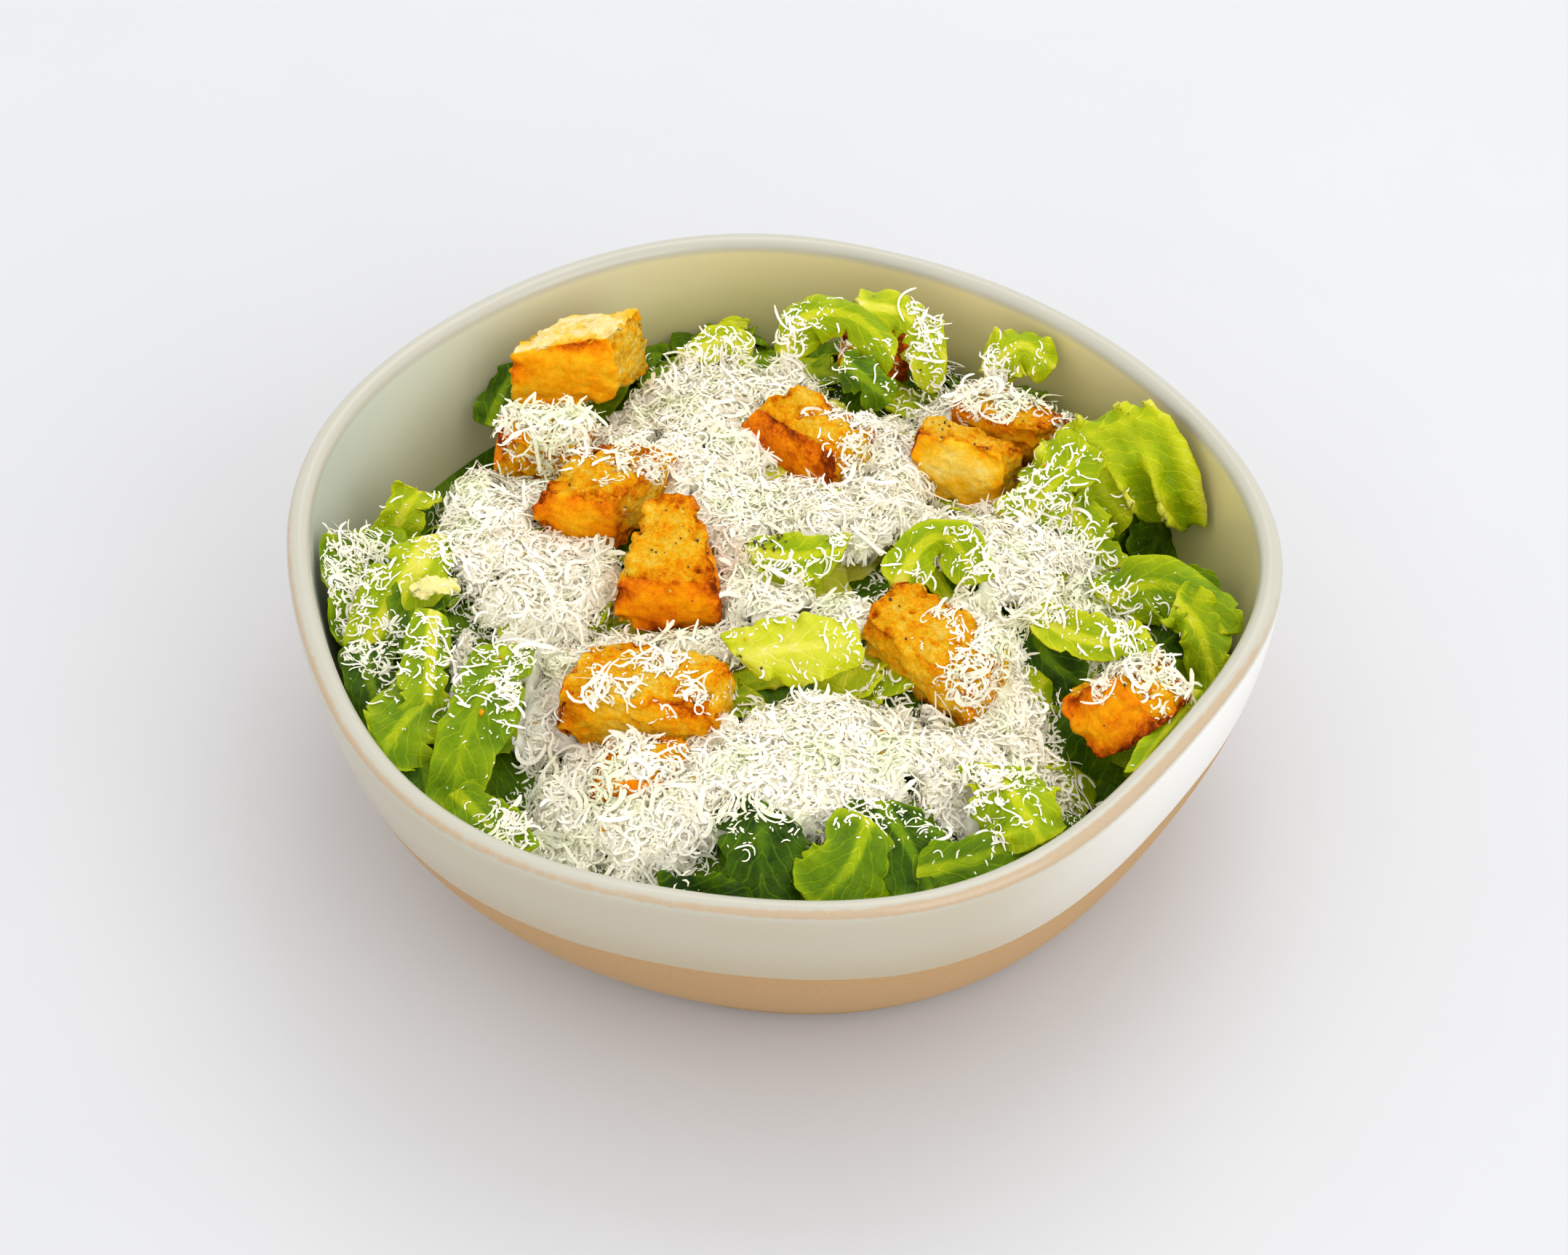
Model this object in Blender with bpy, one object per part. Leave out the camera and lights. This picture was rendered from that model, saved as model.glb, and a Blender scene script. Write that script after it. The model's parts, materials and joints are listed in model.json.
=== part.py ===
"""Caesar salad in a hand-formed stoneware bowl: romaine, grated hard cheese and bread croutons.

The row frame has its origin at the middle of the bowl's flat foot, +Z up, with +Y towards the back of
the bowl. All lengths are in metres. The bowl's rim is a circle with a few low harmonics, so it bulges
and flattens as a thrown and pressed bowl does. The lettuce is one heap out to its uneven outline, the
grated cheese is a blanket lying on it, and each crouton is a piece of its own, bedded in both.
"""

import math

import bmesh
import bpy
from mathutils import Vector, noise

# Bowl: the rim's mean radius, and its harmonics as (order, cosine share, sine share)
RIM_RADIUS = 0.103
RIM_WAVES = (
    (1, -0.0076, -0.0037),
    (2, 0.0007, -0.0012),
    (3, 0.0013, 0.0006),
    (4, 0.0010, 0.0002),
    (5, 0.0008, 0.0005),
    (6, 0.0003, -0.0009),
)
BOWL_HEIGHT = 0.070
FOOT_RADIUS = 0.064  # the flat the bowl stands on
HEEL_RADIUS = 0.073  # where the wall's parabola would meet the table
HEEL_HEIGHT = 0.005
HEEL_TURN = (0.8, 0.35)  # where its rounding turns up, as shares of the way out and of its height
WALL = 0.005
FLOOR_HEIGHT = 0.0075
SECTORS = 64
WALL_RINGS = 6
LIP_STEPS = 4
SHARP_ANGLE = 40  # degrees, above which an edge of the bowl isn't smoothed

# Contents
BEDDING_GAP = 0.0006  # between the heap and the bowl, whose facets don't match in height
LAYER_GAP = 0.00035  # between two layers that share their facets
HEAP_EDGE = 0.046  # height of the heap at the wall
HEAP_DOME = 0.016  # how much higher it is in the middle
HEAP_FALL = 2.4  # power with which the dome falls off towards the wall
HEAP_RINGS_UNDER_CHEESE = 8
HEAP_RINGS_OUTSIDE = 4
HEAP_SIDE_RINGS = 3
HEAP_ROUGHNESS = 0.0022
HEAP_GRAIN = 0.013  # size of the leaf-sized relief
HEAP_SEED = 3.7

# Masses of leaves and the hollows between them, as (x, y, reach, rise)
HEAP_FORMS = (
    (-0.084, -0.006, 0.026, 0.011),  # leaves standing along the left wall
    (-0.066, -0.052, 0.018, 0.006),
    (0.002, -0.078, 0.040, 0.011),  # front leaves, up to the rim
    (0.045, -0.066, 0.020, 0.006),
    (-0.074, 0.052, 0.020, -0.018),  # hollow at the back left
    (0.088, 0.020, 0.017, -0.019),  # hollow at the right
    (0.074, 0.034, 0.012, 0.021),  # ruffled leaf leaning on the right wall
    (0.085, -0.012, 0.012, 0.013),
    (0.020, 0.078, 0.013, 0.008),  # curled leaf at the back
    (0.056, 0.066, 0.010, 0.007),
    (-0.012, 0.088, 0.010, 0.004),
    (0.033, 0.002, 0.012, 0.004),
)

# Cheese: share of the way to the wall that it covers, and lobes of that edge as (degrees, width, change)
CHEESE_REACH = 0.84
CHEESE_LOBES = (
    (205, 26, -0.19),
    (345, 28, -0.17),
    (285, 24, -0.09),
    (242, 16, 0.07),
    (140, 20, -0.05),
)
CHEESE_THICKNESS = 0.0042
CHEESE_EDGE = 0.0012
CHEESE_FALL = 3  # power with which it thins towards its edge
CHEESE_ROUGHNESS = 0.0013
CHEESE_ROUGHNESS_FALL = 6
CHEESE_GRAIN = 0.008
CHEESE_SEED = 9.2

# Croutons, as (the top's corners from front left round to back left, the way from there to the bottom,
# how much larger the bottom is)
CROUTONS = (
    (((-0.0605, 0.0605, 0.070), (-0.0385, 0.0630, 0.073), (-0.0325, 0.0775, 0.069), (-0.0515, 0.0770, 0.067)),
     (0.0015, -0.0020, -0.0180), 1.04),
    (((-0.0615, 0.0360, 0.066), (-0.0435, 0.0330, 0.067), (-0.0420, 0.0460, 0.067), (-0.0600, 0.0485, 0.066)),
     (-0.0010, 0.0, -0.0150), 1.05),
    (((-0.0525, 0.0155, 0.070), (-0.0355, 0.0100, 0.071), (-0.0240, 0.0285, 0.071), (-0.0400, 0.0315, 0.071)),
     (0.0005, 0.0, -0.0140), 1.05),
    (((-0.0345, -0.0135, 0.072), (-0.0130, -0.0150, 0.072), (-0.0195, 0.0085, 0.077), (-0.0270, 0.0090, 0.077)),
     (0.0, -0.0010, -0.0135), 1.12),
    (((-0.0455, -0.0450, 0.071), (-0.0145, -0.0495, 0.071), (-0.0110, -0.0355, 0.072), (-0.0375, -0.0305, 0.073)),
     (0.0, -0.0010, -0.0150), 1.00),
    (((-0.0380, -0.0635, 0.065), (-0.0220, -0.0650, 0.065), (-0.0185, -0.0515, 0.065), (-0.0340, -0.0500, 0.065)),
     (0.0, -0.0005, -0.0150), 1.08),
    (((-0.0065, 0.0440, 0.069), (0.0115, 0.0295, 0.068), (0.0205, 0.0375, 0.068), (0.0030, 0.0495, 0.071)),
     (-0.0020, -0.0010, -0.0140), 1.20),
    (((0.0290, 0.0340, 0.071), (0.0470, 0.0270, 0.071), (0.0525, 0.0370, 0.064), (0.0340, 0.0475, 0.064)),
     (0.0, -0.0010, -0.0180), 1.12),
    (((0.0380, 0.0485, 0.066), (0.0550, 0.0390, 0.066), (0.0640, 0.0475, 0.063), (0.0420, 0.0595, 0.064)),
     (0.0, 0.0005, -0.0140), 1.04),
    (((0.0170, -0.0240, 0.071), (0.0380, -0.0445, 0.070), (0.0465, -0.0305, 0.071), (0.0255, -0.0100, 0.072)),
     (0.0, 0.0005, -0.0150), 1.03),
    (((0.0685, -0.0385, 0.070), (0.0760, -0.0520, 0.067), (0.0835, -0.0415, 0.066), (0.0775, -0.0315, 0.069)),
     (-0.0110, 0.0025, -0.0120), 1.15),
    (((0.0145, 0.0665, 0.066), (0.0285, 0.0685, 0.066), (0.0260, 0.0785, 0.066), (0.0130, 0.0760, 0.066)),
     (0.0, 0.0, -0.0130), 1.00),
)
CROUTON_ROUGHNESS = 0.05  # the deepest dent, as a share of the way in
CROUTON_GRAIN = 0.009
CROUTON_SEED = Vector((5.1, 2.3, 7.7))  # times the crouton's number
CORNER_ROUNDING = 0.10
EDGE_ROUNDING = 0.035
BED_GROWTH = 1.10  # how much larger than a crouton its bed is

# Colours are linear RGB
GLAZE = (0.60, 0.62, 0.55)
LEAF = (0.22, 0.45, 0.03)
CHEESE = (0.82, 0.79, 0.62)
CRUST = (0.72, 0.28, 0.04)


def clear_scene():
    """Removes every object of the startup scene."""
    for obj in list(bpy.data.objects):
        bpy.data.objects.remove(obj)


def material(name, colour, roughness):
    """A plain Principled material of one colour."""
    made = bpy.data.materials.new(name)
    made.use_nodes = True
    shader = made.node_tree.nodes["Principled BSDF"]
    shader.inputs["Base Color"].default_value = (*colour, 1.0)
    shader.inputs["Roughness"].default_value = roughness
    shader.inputs["Metallic"].default_value = 0.0
    return made


def object_from(name, mesh_edit, finish):
    """A linked object holding the bmesh, facing out, with one material."""
    bmesh.ops.recalc_face_normals(mesh_edit, faces=mesh_edit.faces)
    mesh = bpy.data.meshes.new(name)
    mesh_edit.to_mesh(mesh)
    mesh_edit.free()
    mesh.materials.append(finish)
    obj = bpy.data.objects.new(name, mesh)
    bpy.context.scene.collection.objects.link(obj)
    return obj


def rim_radius(angle):
    """Radius of the rim's outer edge about the foot's axis."""
    return RIM_RADIUS + sum(
        c * math.cos(order * angle) + s * math.sin(order * angle)
        for order, c, s in RIM_WAVES
    )


def sector_angles():
    """The directions of the facets' corners, shared by the bowl and what fills it."""
    return [2 * math.pi * i / SECTORS for i in range(SECTORS)]


def rim_middle():
    """Middle of the rim's box about the foot's axis, so that the frame's origin is under it."""
    edge = [(rim_radius(a) * math.cos(a), rim_radius(a) * math.sin(a)) for a in sector_angles()]
    xs = [x for x, _ in edge]
    ys = [y for _, y in edge]
    return Vector(((min(xs) + max(xs)) / 2, (min(ys) + max(ys)) / 2, 0.0))


AXIS = -rim_middle()  # the foot's axis in the row frame


def wall_radius(angle, height):
    """Outer radius of the wall: a parabola from the heel that stands upright at the rim."""
    share = height / BOWL_HEIGHT
    return HEEL_RADIUS + (rim_radius(angle) - HEEL_RADIUS) * (1 - (1 - share) ** 2)


def outline_point(angle, radius, height):
    """A point of the row frame from its polar place about the foot's axis."""
    return Vector((AXIS.x + radius * math.cos(angle), AXIS.y + radius * math.sin(angle), height))


def add_ring(mesh_edit, radius_at, height_at):
    """One closed ring of corners, with radius and height as functions of the angle."""
    return [
        mesh_edit.verts.new(outline_point(a, radius_at(a), height_at(a)))
        for a in sector_angles()
    ]


def bridge(mesh_edit, lower, upper):
    """Pairs of triangles between two rings, with the same diagonals wherever two layers share facets."""
    for i in range(len(lower)):
        j = (i + 1) % len(lower)
        mesh_edit.faces.new((lower[i], lower[j], upper[j]))
        mesh_edit.faces.new((lower[i], upper[j], upper[i]))


def bridge_all(mesh_edit, rings):
    """Closes the surface between each ring and the next."""
    for lower, upper in zip(rings, rings[1:]):
        bridge(mesh_edit, lower, upper)


def build_bowl():
    """Foot, heel, wall, rounded lip, inner wall and floor, as one closed shell."""
    mesh_edit = bmesh.new()
    rings = [add_ring(mesh_edit, lambda a: FOOT_RADIUS, lambda a: 0.0)]
    rings.append(
        add_ring(
            mesh_edit,
            lambda a: FOOT_RADIUS + HEEL_TURN[0] * (wall_radius(a, HEEL_HEIGHT) - FOOT_RADIUS),
            lambda a: HEEL_TURN[1] * HEEL_HEIGHT,
        )
    )
    lip = WALL / 2
    shoulder = BOWL_HEIGHT - lip
    for i in range(WALL_RINGS + 1):
        height = HEEL_HEIGHT + (shoulder - HEEL_HEIGHT) * i / WALL_RINGS
        rings.append(add_ring(mesh_edit, lambda a, h=height: wall_radius(a, h), lambda a, h=height: h))
    for i in range(1, LIP_STEPS):
        turn = math.pi * i / LIP_STEPS
        inset = lip * (1 - math.cos(turn))
        height = shoulder + lip * math.sin(turn)
        rings.append(
            add_ring(
                mesh_edit,
                lambda a, d=inset: wall_radius(a, shoulder) - d,
                lambda a, h=height: h,
            )
        )
    for i in range(WALL_RINGS + 1):
        height = shoulder + (FLOOR_HEIGHT + HEEL_HEIGHT - shoulder) * i / WALL_RINGS
        rings.append(
            add_ring(mesh_edit, lambda a, h=height: wall_radius(a, h) - WALL, lambda a, h=height: h)
        )
    rings.append(add_ring(mesh_edit, lambda a: FOOT_RADIUS + WALL, lambda a: FLOOR_HEIGHT))
    bridge_all(mesh_edit, rings)
    mesh_edit.faces.new(rings[0])
    mesh_edit.faces.new(rings[-1])
    bowl = object_from("bowl", mesh_edit, material("celadon_glaze", GLAZE, 0.25))
    bowl.data.shade_smooth()
    bowl.data.set_sharp_from_angle(angle=math.radians(SHARP_ANGLE))
    return bowl


def inner_radius(angle, height):
    """How far the contents reach at this height."""
    return wall_radius(angle, height) - WALL - BEDDING_GAP


def relief(point, grain, seed):
    """Smooth noise between about -1 and 1 over the plan of the heap."""
    return noise.noise(Vector((point.x / grain, point.y / grain, seed)))


def heap_height(angle, share):
    """Height of the lettuce where share is the part of the way from the axis to the wall."""
    height = HEAP_EDGE + HEAP_DOME * (1 - share**HEAP_FALL)
    place = outline_point(angle, share * inner_radius(angle, HEAP_EDGE), 0.0)
    for x, y, reach, rise in HEAP_FORMS:
        away = ((place.x - x) ** 2 + (place.y - y) ** 2) / reach**2
        height += rise * math.exp(-away)
    return height + HEAP_ROUGHNESS * relief(place, HEAP_GRAIN, HEAP_SEED)


def cheese_share(angle):
    """How far the cheese reaches towards the wall, as a share."""
    reach = CHEESE_REACH
    for degrees, width, change in CHEESE_LOBES:
        off = (math.degrees(angle) - degrees + 180) % 360 - 180
        reach += change * math.exp(-((off / width) ** 2))
    return reach


def heap_ring(mesh_edit, share_at, lift_at):
    """A ring of the heap's top, raised by lift_at(angle, share)."""
    ring = []
    for angle in sector_angles():
        share = share_at(angle)
        height = heap_height(angle, share)
        radius = share * inner_radius(angle, height)
        ring.append(mesh_edit.verts.new(outline_point(angle, radius, height + lift_at(angle, share))))
    return ring


def close_with_middle(mesh_edit, ring, height):
    """Fans the innermost ring to a point on the axis."""
    middle = mesh_edit.verts.new(outline_point(0.0, 0.0, height))
    for i in range(len(ring)):
        mesh_edit.faces.new((ring[i], ring[(i + 1) % len(ring)], middle))


def build_lettuce():
    """The heap of leaves: an uneven top, sides along the bowl's wall, and a flat underside."""
    mesh_edit = bmesh.new()
    rings = []
    floor = FLOOR_HEIGHT + LAYER_GAP
    rings.append(add_ring(mesh_edit, lambda a: FOOT_RADIUS, lambda a: floor))
    low = FLOOR_HEIGHT + HEEL_HEIGHT
    for i in range(HEAP_SIDE_RINGS):
        part = i / HEAP_SIDE_RINGS

        def side_height(angle, part=part):
            return low + (heap_height(angle, 1.0) - low) * part

        rings.append(
            add_ring(mesh_edit, lambda a, h=side_height: inner_radius(a, h(a)), side_height)
        )
    for i in range(HEAP_RINGS_OUTSIDE):
        part = i / HEAP_RINGS_OUTSIDE
        rings.append(
            heap_ring(
                mesh_edit,
                lambda a, p=part: 1.0 - p * (1.0 - cheese_share(a)),
                lambda a, s: 0.0,
            )
        )
    for i in range(HEAP_RINGS_UNDER_CHEESE):
        part = 1 - i / HEAP_RINGS_UNDER_CHEESE
        rings.append(
            heap_ring(mesh_edit, lambda a, p=part: p * cheese_share(a), lambda a, s: 0.0)
        )
    bridge_all(mesh_edit, rings)
    mesh_edit.faces.new(rings[0])
    close_with_middle(mesh_edit, rings[-1], heap_height(0.0, 0.0))
    return object_from("lettuce", mesh_edit, material("romaine", LEAF, 0.45))


def build_cheese():
    """The blanket of grated cheese: its underside shares the facets of the lettuce under it."""
    mesh_edit = bmesh.new()

    def upper_lift(angle, share):
        across = min(1.0, share / cheese_share(angle))
        place = outline_point(angle, share * RIM_RADIUS, 0.0)
        rough = CHEESE_ROUGHNESS * relief(place, CHEESE_GRAIN, CHEESE_SEED)
        swell = (CHEESE_THICKNESS - CHEESE_EDGE) * (1 - across**CHEESE_FALL)
        return LAYER_GAP + CHEESE_EDGE + swell + rough * (1 - across**CHEESE_ROUGHNESS_FALL)

    def ring_at(part, lift):
        return heap_ring(mesh_edit, lambda a: part * cheese_share(a), lift)

    shares = [1 - i / HEAP_RINGS_UNDER_CHEESE for i in range(HEAP_RINGS_UNDER_CHEESE)]
    under = [ring_at(part, lambda a, s: LAYER_GAP) for part in shares]
    over = [ring_at(part, upper_lift) for part in shares]
    bridge_all(mesh_edit, under)
    bridge_all(mesh_edit, over)
    bridge(mesh_edit, under[0], over[0])
    middle = heap_height(0.0, 0.0)
    close_with_middle(mesh_edit, under[-1], middle + LAYER_GAP)
    close_with_middle(mesh_edit, over[-1], middle + upper_lift(0.0, 0.0))
    return object_from("grated_cheese", mesh_edit, material("hard_cheese", CHEESE, 0.6))


def corner_points(top, down, spread):
    """A crouton's eight corners: the top four, then the four under them."""
    above = [Vector(corner) for corner in top]
    middle = sum(above, Vector()) / 4
    return above + [middle + spread * (corner - middle) + Vector(down) for corner in above]


def place_between(corners, at):
    """The place in a six-sided block for a point of the cube that spans -1 to 1."""
    x, y, z = (0.5 + 0.5 * value for value in at)
    place = Vector()
    for level, share in ((0, z), (4, 1 - z)):
        near = corners[level] * (1 - x) + corners[level + 1] * x
        far = corners[level + 3] * (1 - x) + corners[level + 2] * x
        place += share * (near * (1 - y) + far * y)
    return place


def crouton_shape(corners, seed):
    """A torn bread block between its corners: rounded, and dented by up to its roughness."""
    mesh_edit = bmesh.new()
    bmesh.ops.create_cube(mesh_edit, size=2.0)
    bmesh.ops.subdivide_edges(mesh_edit, edges=mesh_edit.edges[:], cuts=2, use_grid_fill=True)
    rounding = {3: CORNER_ROUNDING, 2: EDGE_ROUNDING}
    for vert in mesh_edit.verts:
        sides = sum(abs(c) > 0.99 for c in vert.co)
        place = place_between(corners, vert.co) / CROUTON_GRAIN + seed * CROUTON_SEED
        dent = CROUTON_ROUGHNESS * (0.5 + 0.5 * noise.noise(place))
        vert.co = place_between(corners, vert.co * (1 - rounding.get(sides, 0.0) - dent))
    return mesh_edit


def build_crouton(number, top, down, spread, finish):
    """One crouton and the slightly larger block that beds it. Returns that cutter."""
    corners = corner_points(top, down, spread)
    shape = bmesh.new()
    bmesh.ops.create_cube(shape, size=2.0)
    for vert in shape.verts:
        vert.co = place_between(corners, vert.co * BED_GROWTH)
    bed = object_from(f"bed_{number:02d}", shape, finish)
    bed.hide_render = True
    bed.display_type = "WIRE"
    object_from(f"crouton_{number:02d}", crouton_shape(corners, number), finish)
    return bed


def cut(target, cutter, solver="EXACT"):
    """Cuts the cutter's space out of the target."""
    modifier = target.modifiers.new(f"cut_{cutter.name}", "BOOLEAN")
    modifier.operation = "DIFFERENCE"
    modifier.solver = solver
    modifier.object = cutter


def build():
    """Builds the bowl, what fills it and the croutons on top."""
    clear_scene()
    build_bowl()
    lettuce = build_lettuce()
    cheese = build_cheese()
    finish = material("toasted_bread", CRUST, 0.7)
    for number, (top, down, spread) in enumerate(CROUTONS, start=1):
        bed = build_crouton(number, top, down, spread, finish)
        cut(lettuce, bed)
        cut(cheese, bed, "MANIFOLD")  # EXACT leaves open edges in this thin blanket


build()
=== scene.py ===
"""The looks of a caesar salad in its hand-formed stoneware bowl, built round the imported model.

The frame is in metres, +Z up, with its origin under the bowl. Shapes that a cook would measure with a
ruler, such as leaves, drifts of cheese and shreds, are given in millimetres and turned into metres where
their meshes are made. Everything rides on the one body, and nothing random is left unseeded.
"""

import json
import logging
import math
import random
from collections.abc import Iterable, Sequence
from dataclasses import dataclass, field
from enum import Enum

import bmesh
import bpy
import numpy as np
from bpy.types import ID, Collection, Material, Mesh, Node, NodeSocket, NodeTree, Object
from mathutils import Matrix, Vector, noise
from mathutils.bvhtree import BVHTree

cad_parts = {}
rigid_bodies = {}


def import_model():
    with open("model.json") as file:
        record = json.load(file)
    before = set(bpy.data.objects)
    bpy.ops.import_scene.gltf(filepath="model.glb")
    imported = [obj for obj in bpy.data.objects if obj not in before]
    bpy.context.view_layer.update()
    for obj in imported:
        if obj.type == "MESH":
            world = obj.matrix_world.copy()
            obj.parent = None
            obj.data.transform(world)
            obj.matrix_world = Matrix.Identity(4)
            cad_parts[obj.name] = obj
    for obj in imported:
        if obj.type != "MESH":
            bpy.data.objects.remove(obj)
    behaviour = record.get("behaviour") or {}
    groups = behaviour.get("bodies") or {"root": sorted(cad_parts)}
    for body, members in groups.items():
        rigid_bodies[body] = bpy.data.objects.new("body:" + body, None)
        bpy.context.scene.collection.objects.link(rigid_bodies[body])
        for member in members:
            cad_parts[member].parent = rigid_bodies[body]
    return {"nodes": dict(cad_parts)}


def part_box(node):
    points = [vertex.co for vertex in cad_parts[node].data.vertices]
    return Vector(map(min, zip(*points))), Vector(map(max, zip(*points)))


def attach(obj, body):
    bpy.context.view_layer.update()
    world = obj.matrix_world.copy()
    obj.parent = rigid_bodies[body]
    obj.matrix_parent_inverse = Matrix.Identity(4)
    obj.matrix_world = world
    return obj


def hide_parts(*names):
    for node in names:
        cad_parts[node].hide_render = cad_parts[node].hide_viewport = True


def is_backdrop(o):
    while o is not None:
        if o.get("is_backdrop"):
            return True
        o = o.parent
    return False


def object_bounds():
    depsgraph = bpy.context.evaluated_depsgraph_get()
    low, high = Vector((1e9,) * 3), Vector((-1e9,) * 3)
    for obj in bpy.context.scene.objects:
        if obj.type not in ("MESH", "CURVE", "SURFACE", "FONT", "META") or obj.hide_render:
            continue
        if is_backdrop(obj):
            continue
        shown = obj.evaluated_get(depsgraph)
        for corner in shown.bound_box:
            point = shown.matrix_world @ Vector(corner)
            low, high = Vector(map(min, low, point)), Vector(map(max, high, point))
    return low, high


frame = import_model()
log = logging.getLogger("salad")

MM = 0.001
BODY = "root"
CEILING = 0.2  # rays are cast down from here, well above the salad
NOWHERE = -1.0  # the height of a surface where it has none
DOWN = Vector((0, 0, -1))
Array = np.ndarray
Colour = tuple[float, float, float]
Point = tuple[float, float, float]
Range = tuple[float, float]


def shade(red: int, green: int, blue: int) -> Colour:
    """A linear colour from its 0 to 255 screen values.

    Args:
        red, green, blue: the colour as a screen shows it.

    Returns:
        The linear RGB values that a shader takes.
    """

    def linear(value: float) -> float:
        """One channel's linear value."""
        share = value / 255
        return share / 12.92 if share <= 0.04045 else ((share + 0.055) / 1.055) ** 2.4

    return linear(red), linear(green), linear(blue)


def smoothstep(values: Array | float, low: float, high: float) -> Array:
    """A soft step from 0 at low to 1 at high."""
    share = np.clip((np.asarray(values, float) - low) / (high - low), 0.0, 1.0)
    return share * share * (3 - 2 * share)


def noise_at(points: Array, size: float, seed: float) -> Array:
    """Smooth noise, mostly between -1 and 1, with lumps of this size, in the points' unit."""
    shift = Vector((seed * 3.17, seed * 1.93, seed * 7.31))
    return np.array([noise.noise(Vector(point) / size + shift) for point in points])


# ------------ node trees


@dataclass(frozen=True)
class Value:
    """What a node gives, which plain arithmetic hands on to Math nodes."""

    graph: "NodeGraph"
    socket: NodeSocket

    def __add__(self, other: object) -> "Value":
        """The sum."""
        return self.graph.math("ADD", self, other)

    def __radd__(self, other: object) -> "Value":
        """The sum, with the other first."""
        return self.graph.math("ADD", other, self)

    def __sub__(self, other: object) -> "Value":
        """The difference."""
        return self.graph.math("SUBTRACT", self, other)

    def __mul__(self, other: object) -> "Value":
        """The product."""
        return self.graph.math("MULTIPLY", self, other)

    def __truediv__(self, other: object) -> "Value":
        """The quotient."""
        return self.graph.math("DIVIDE", self, other)

    def __pow__(self, other: object) -> "Value":
        """This to the power of the other."""
        return self.graph.math("POWER", self, other)

    def __abs__(self) -> "Value":
        """Its size without its sign."""
        return self.graph.math("ABSOLUTE", self)


class NodeGraph:
    """Adds nodes to one tree and joins them, for materials and for geometry alike."""

    def __init__(self, tree: NodeTree) -> None:
        """Keeps the tree that the nodes go in."""
        self.tree = tree

    def add(self, kind: str, inputs: dict | None = None, **settings: object) -> Node:
        """Adds one node.

        Args:
            kind: the node's Blender type.
            inputs: values or output sockets for its inputs, by name or number.
            settings: the node's own properties.

        Returns:
            The new node.
        """
        node = self.tree.nodes.new(kind)
        for name, value in settings.items():
            setattr(node, name, value)
        for key, value in (inputs or {}).items():
            self.feed(node.inputs[key], value)
        return node

    def value(
        self, kind: str, inputs: dict | None = None, output: int | str = 0, **settings: object
    ) -> Value:
        """What one output of a new node gives, by the output's name or number."""
        return Value(self, self.add(kind, inputs, **settings).outputs[output])

    def feed(self, socket: NodeSocket, value: object) -> None:
        """Links what a node gives to an input, or sets the input's value.

        Args:
            socket: the input.
            value: what a node gives, a number, a vector or a colour without its alpha.
        """
        if isinstance(value, Value):
            value = value.socket
        if isinstance(value, NodeSocket):
            self.tree.links.new(value, socket)
        elif socket.type == "RGBA" and len(value) == 3:
            socket.default_value = (*value, 1.0)
        else:
            socket.default_value = value

    def math(self, operation: str, *values: object) -> Value:
        """The result of one Math node on these values."""
        return self.value("ShaderNodeMath", dict(enumerate(values)), operation=operation)


class MaterialGraph(NodeGraph):
    """The tree of one Principled material, read on object coordinates."""

    def __init__(self, name: str) -> None:
        """Makes the material with its shader and its coordinates.

        Args:
            name: the material's name.
        """
        self.material = bpy.data.materials.new(name)
        self.material.use_nodes = True
        super().__init__(self.material.node_tree)
        self.shader = self.tree.nodes["Principled BSDF"]
        self.place = self.add("ShaderNodeTexCoord").outputs["Object"]

    def attribute(self, name: str) -> Value:
        """A number stored at the piece's points."""
        return self.value("ShaderNodeAttribute", output="Fac", attribute_name=name)

    def noise(self, size_mm: float, detail: float = 3.0, roughness: float = 0.55) -> Value:
        """Noise whose lumps are about this many millimetres across."""
        inputs = {"Scale": 1 / (size_mm * MM), "Detail": detail, "Roughness": roughness}
        return self.value("ShaderNodeTexNoise", {"Vector": self.place, **inputs})

    def step(self, value: Value, low: float, high: float) -> Value:
        """A soft step from 0 at low to 1 at high."""
        inputs = {"Value": value, "From Min": low, "From Max": high}
        return self.value("ShaderNodeMapRange", inputs, interpolation_type="SMOOTHSTEP")

    def span(self, value: Value, low: float, high: float) -> Value:
        """A value from 0 to 1 turned into one from low to high."""
        return self.value("ShaderNodeMapRange", {"Value": value, "To Min": low, "To Max": high})

    def mix(self, share: object, first: object, second: object) -> Value:
        """Two colours mixed.

        Args:
            share: the part of the second.
            first, second: the colours.

        Returns:
            The mixed colour.
        """
        node = self.add("ShaderNodeMix", data_type="RGBA")
        for index, value in ((0, share), (6, first), (7, second)):
            self.feed(node.inputs[index], value)
        return Value(self, node.outputs[2])

    def ramp(self, value: Value, stops: Sequence[tuple[float, Colour]]) -> Value:
        """A colour read from a ramp.

        Args:
            value: where on the ramp, from 0 to 1.
            stops: its places and colours.

        Returns:
            The colour.
        """
        node = self.add("ShaderNodeValToRGB", {"Fac": value})
        elements = node.color_ramp.elements
        while len(elements) < len(stops):
            elements.new(1.0)
        for element, (place, colour) in zip(elements, stops):
            element.position = place
            element.color = (*colour, 1.0)
        return Value(self, node.outputs["Color"])

    def bump(self, height: Value, depth_mm: float, strength: float = 1.0) -> None:
        """Lets a height in 0 to 1, this deep, lean the shader's normal."""
        inputs = {"Height": height, "Distance": depth_mm * MM, "Strength": strength}
        self.tree.links.new(self.add("ShaderNodeBump", inputs).outputs[0], self.shader.inputs["Normal"])

    def finish(self, **inputs: object) -> Material:
        """Sets the shader's inputs.

        Args:
            inputs: what feeds each input, by its name with underscores.

        Returns:
            The finished material.
        """
        for name, value in inputs.items():
            self.feed(self.shader.inputs[name.replace("_", " ")], value)
        return self.material


# ------------ finishes


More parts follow.
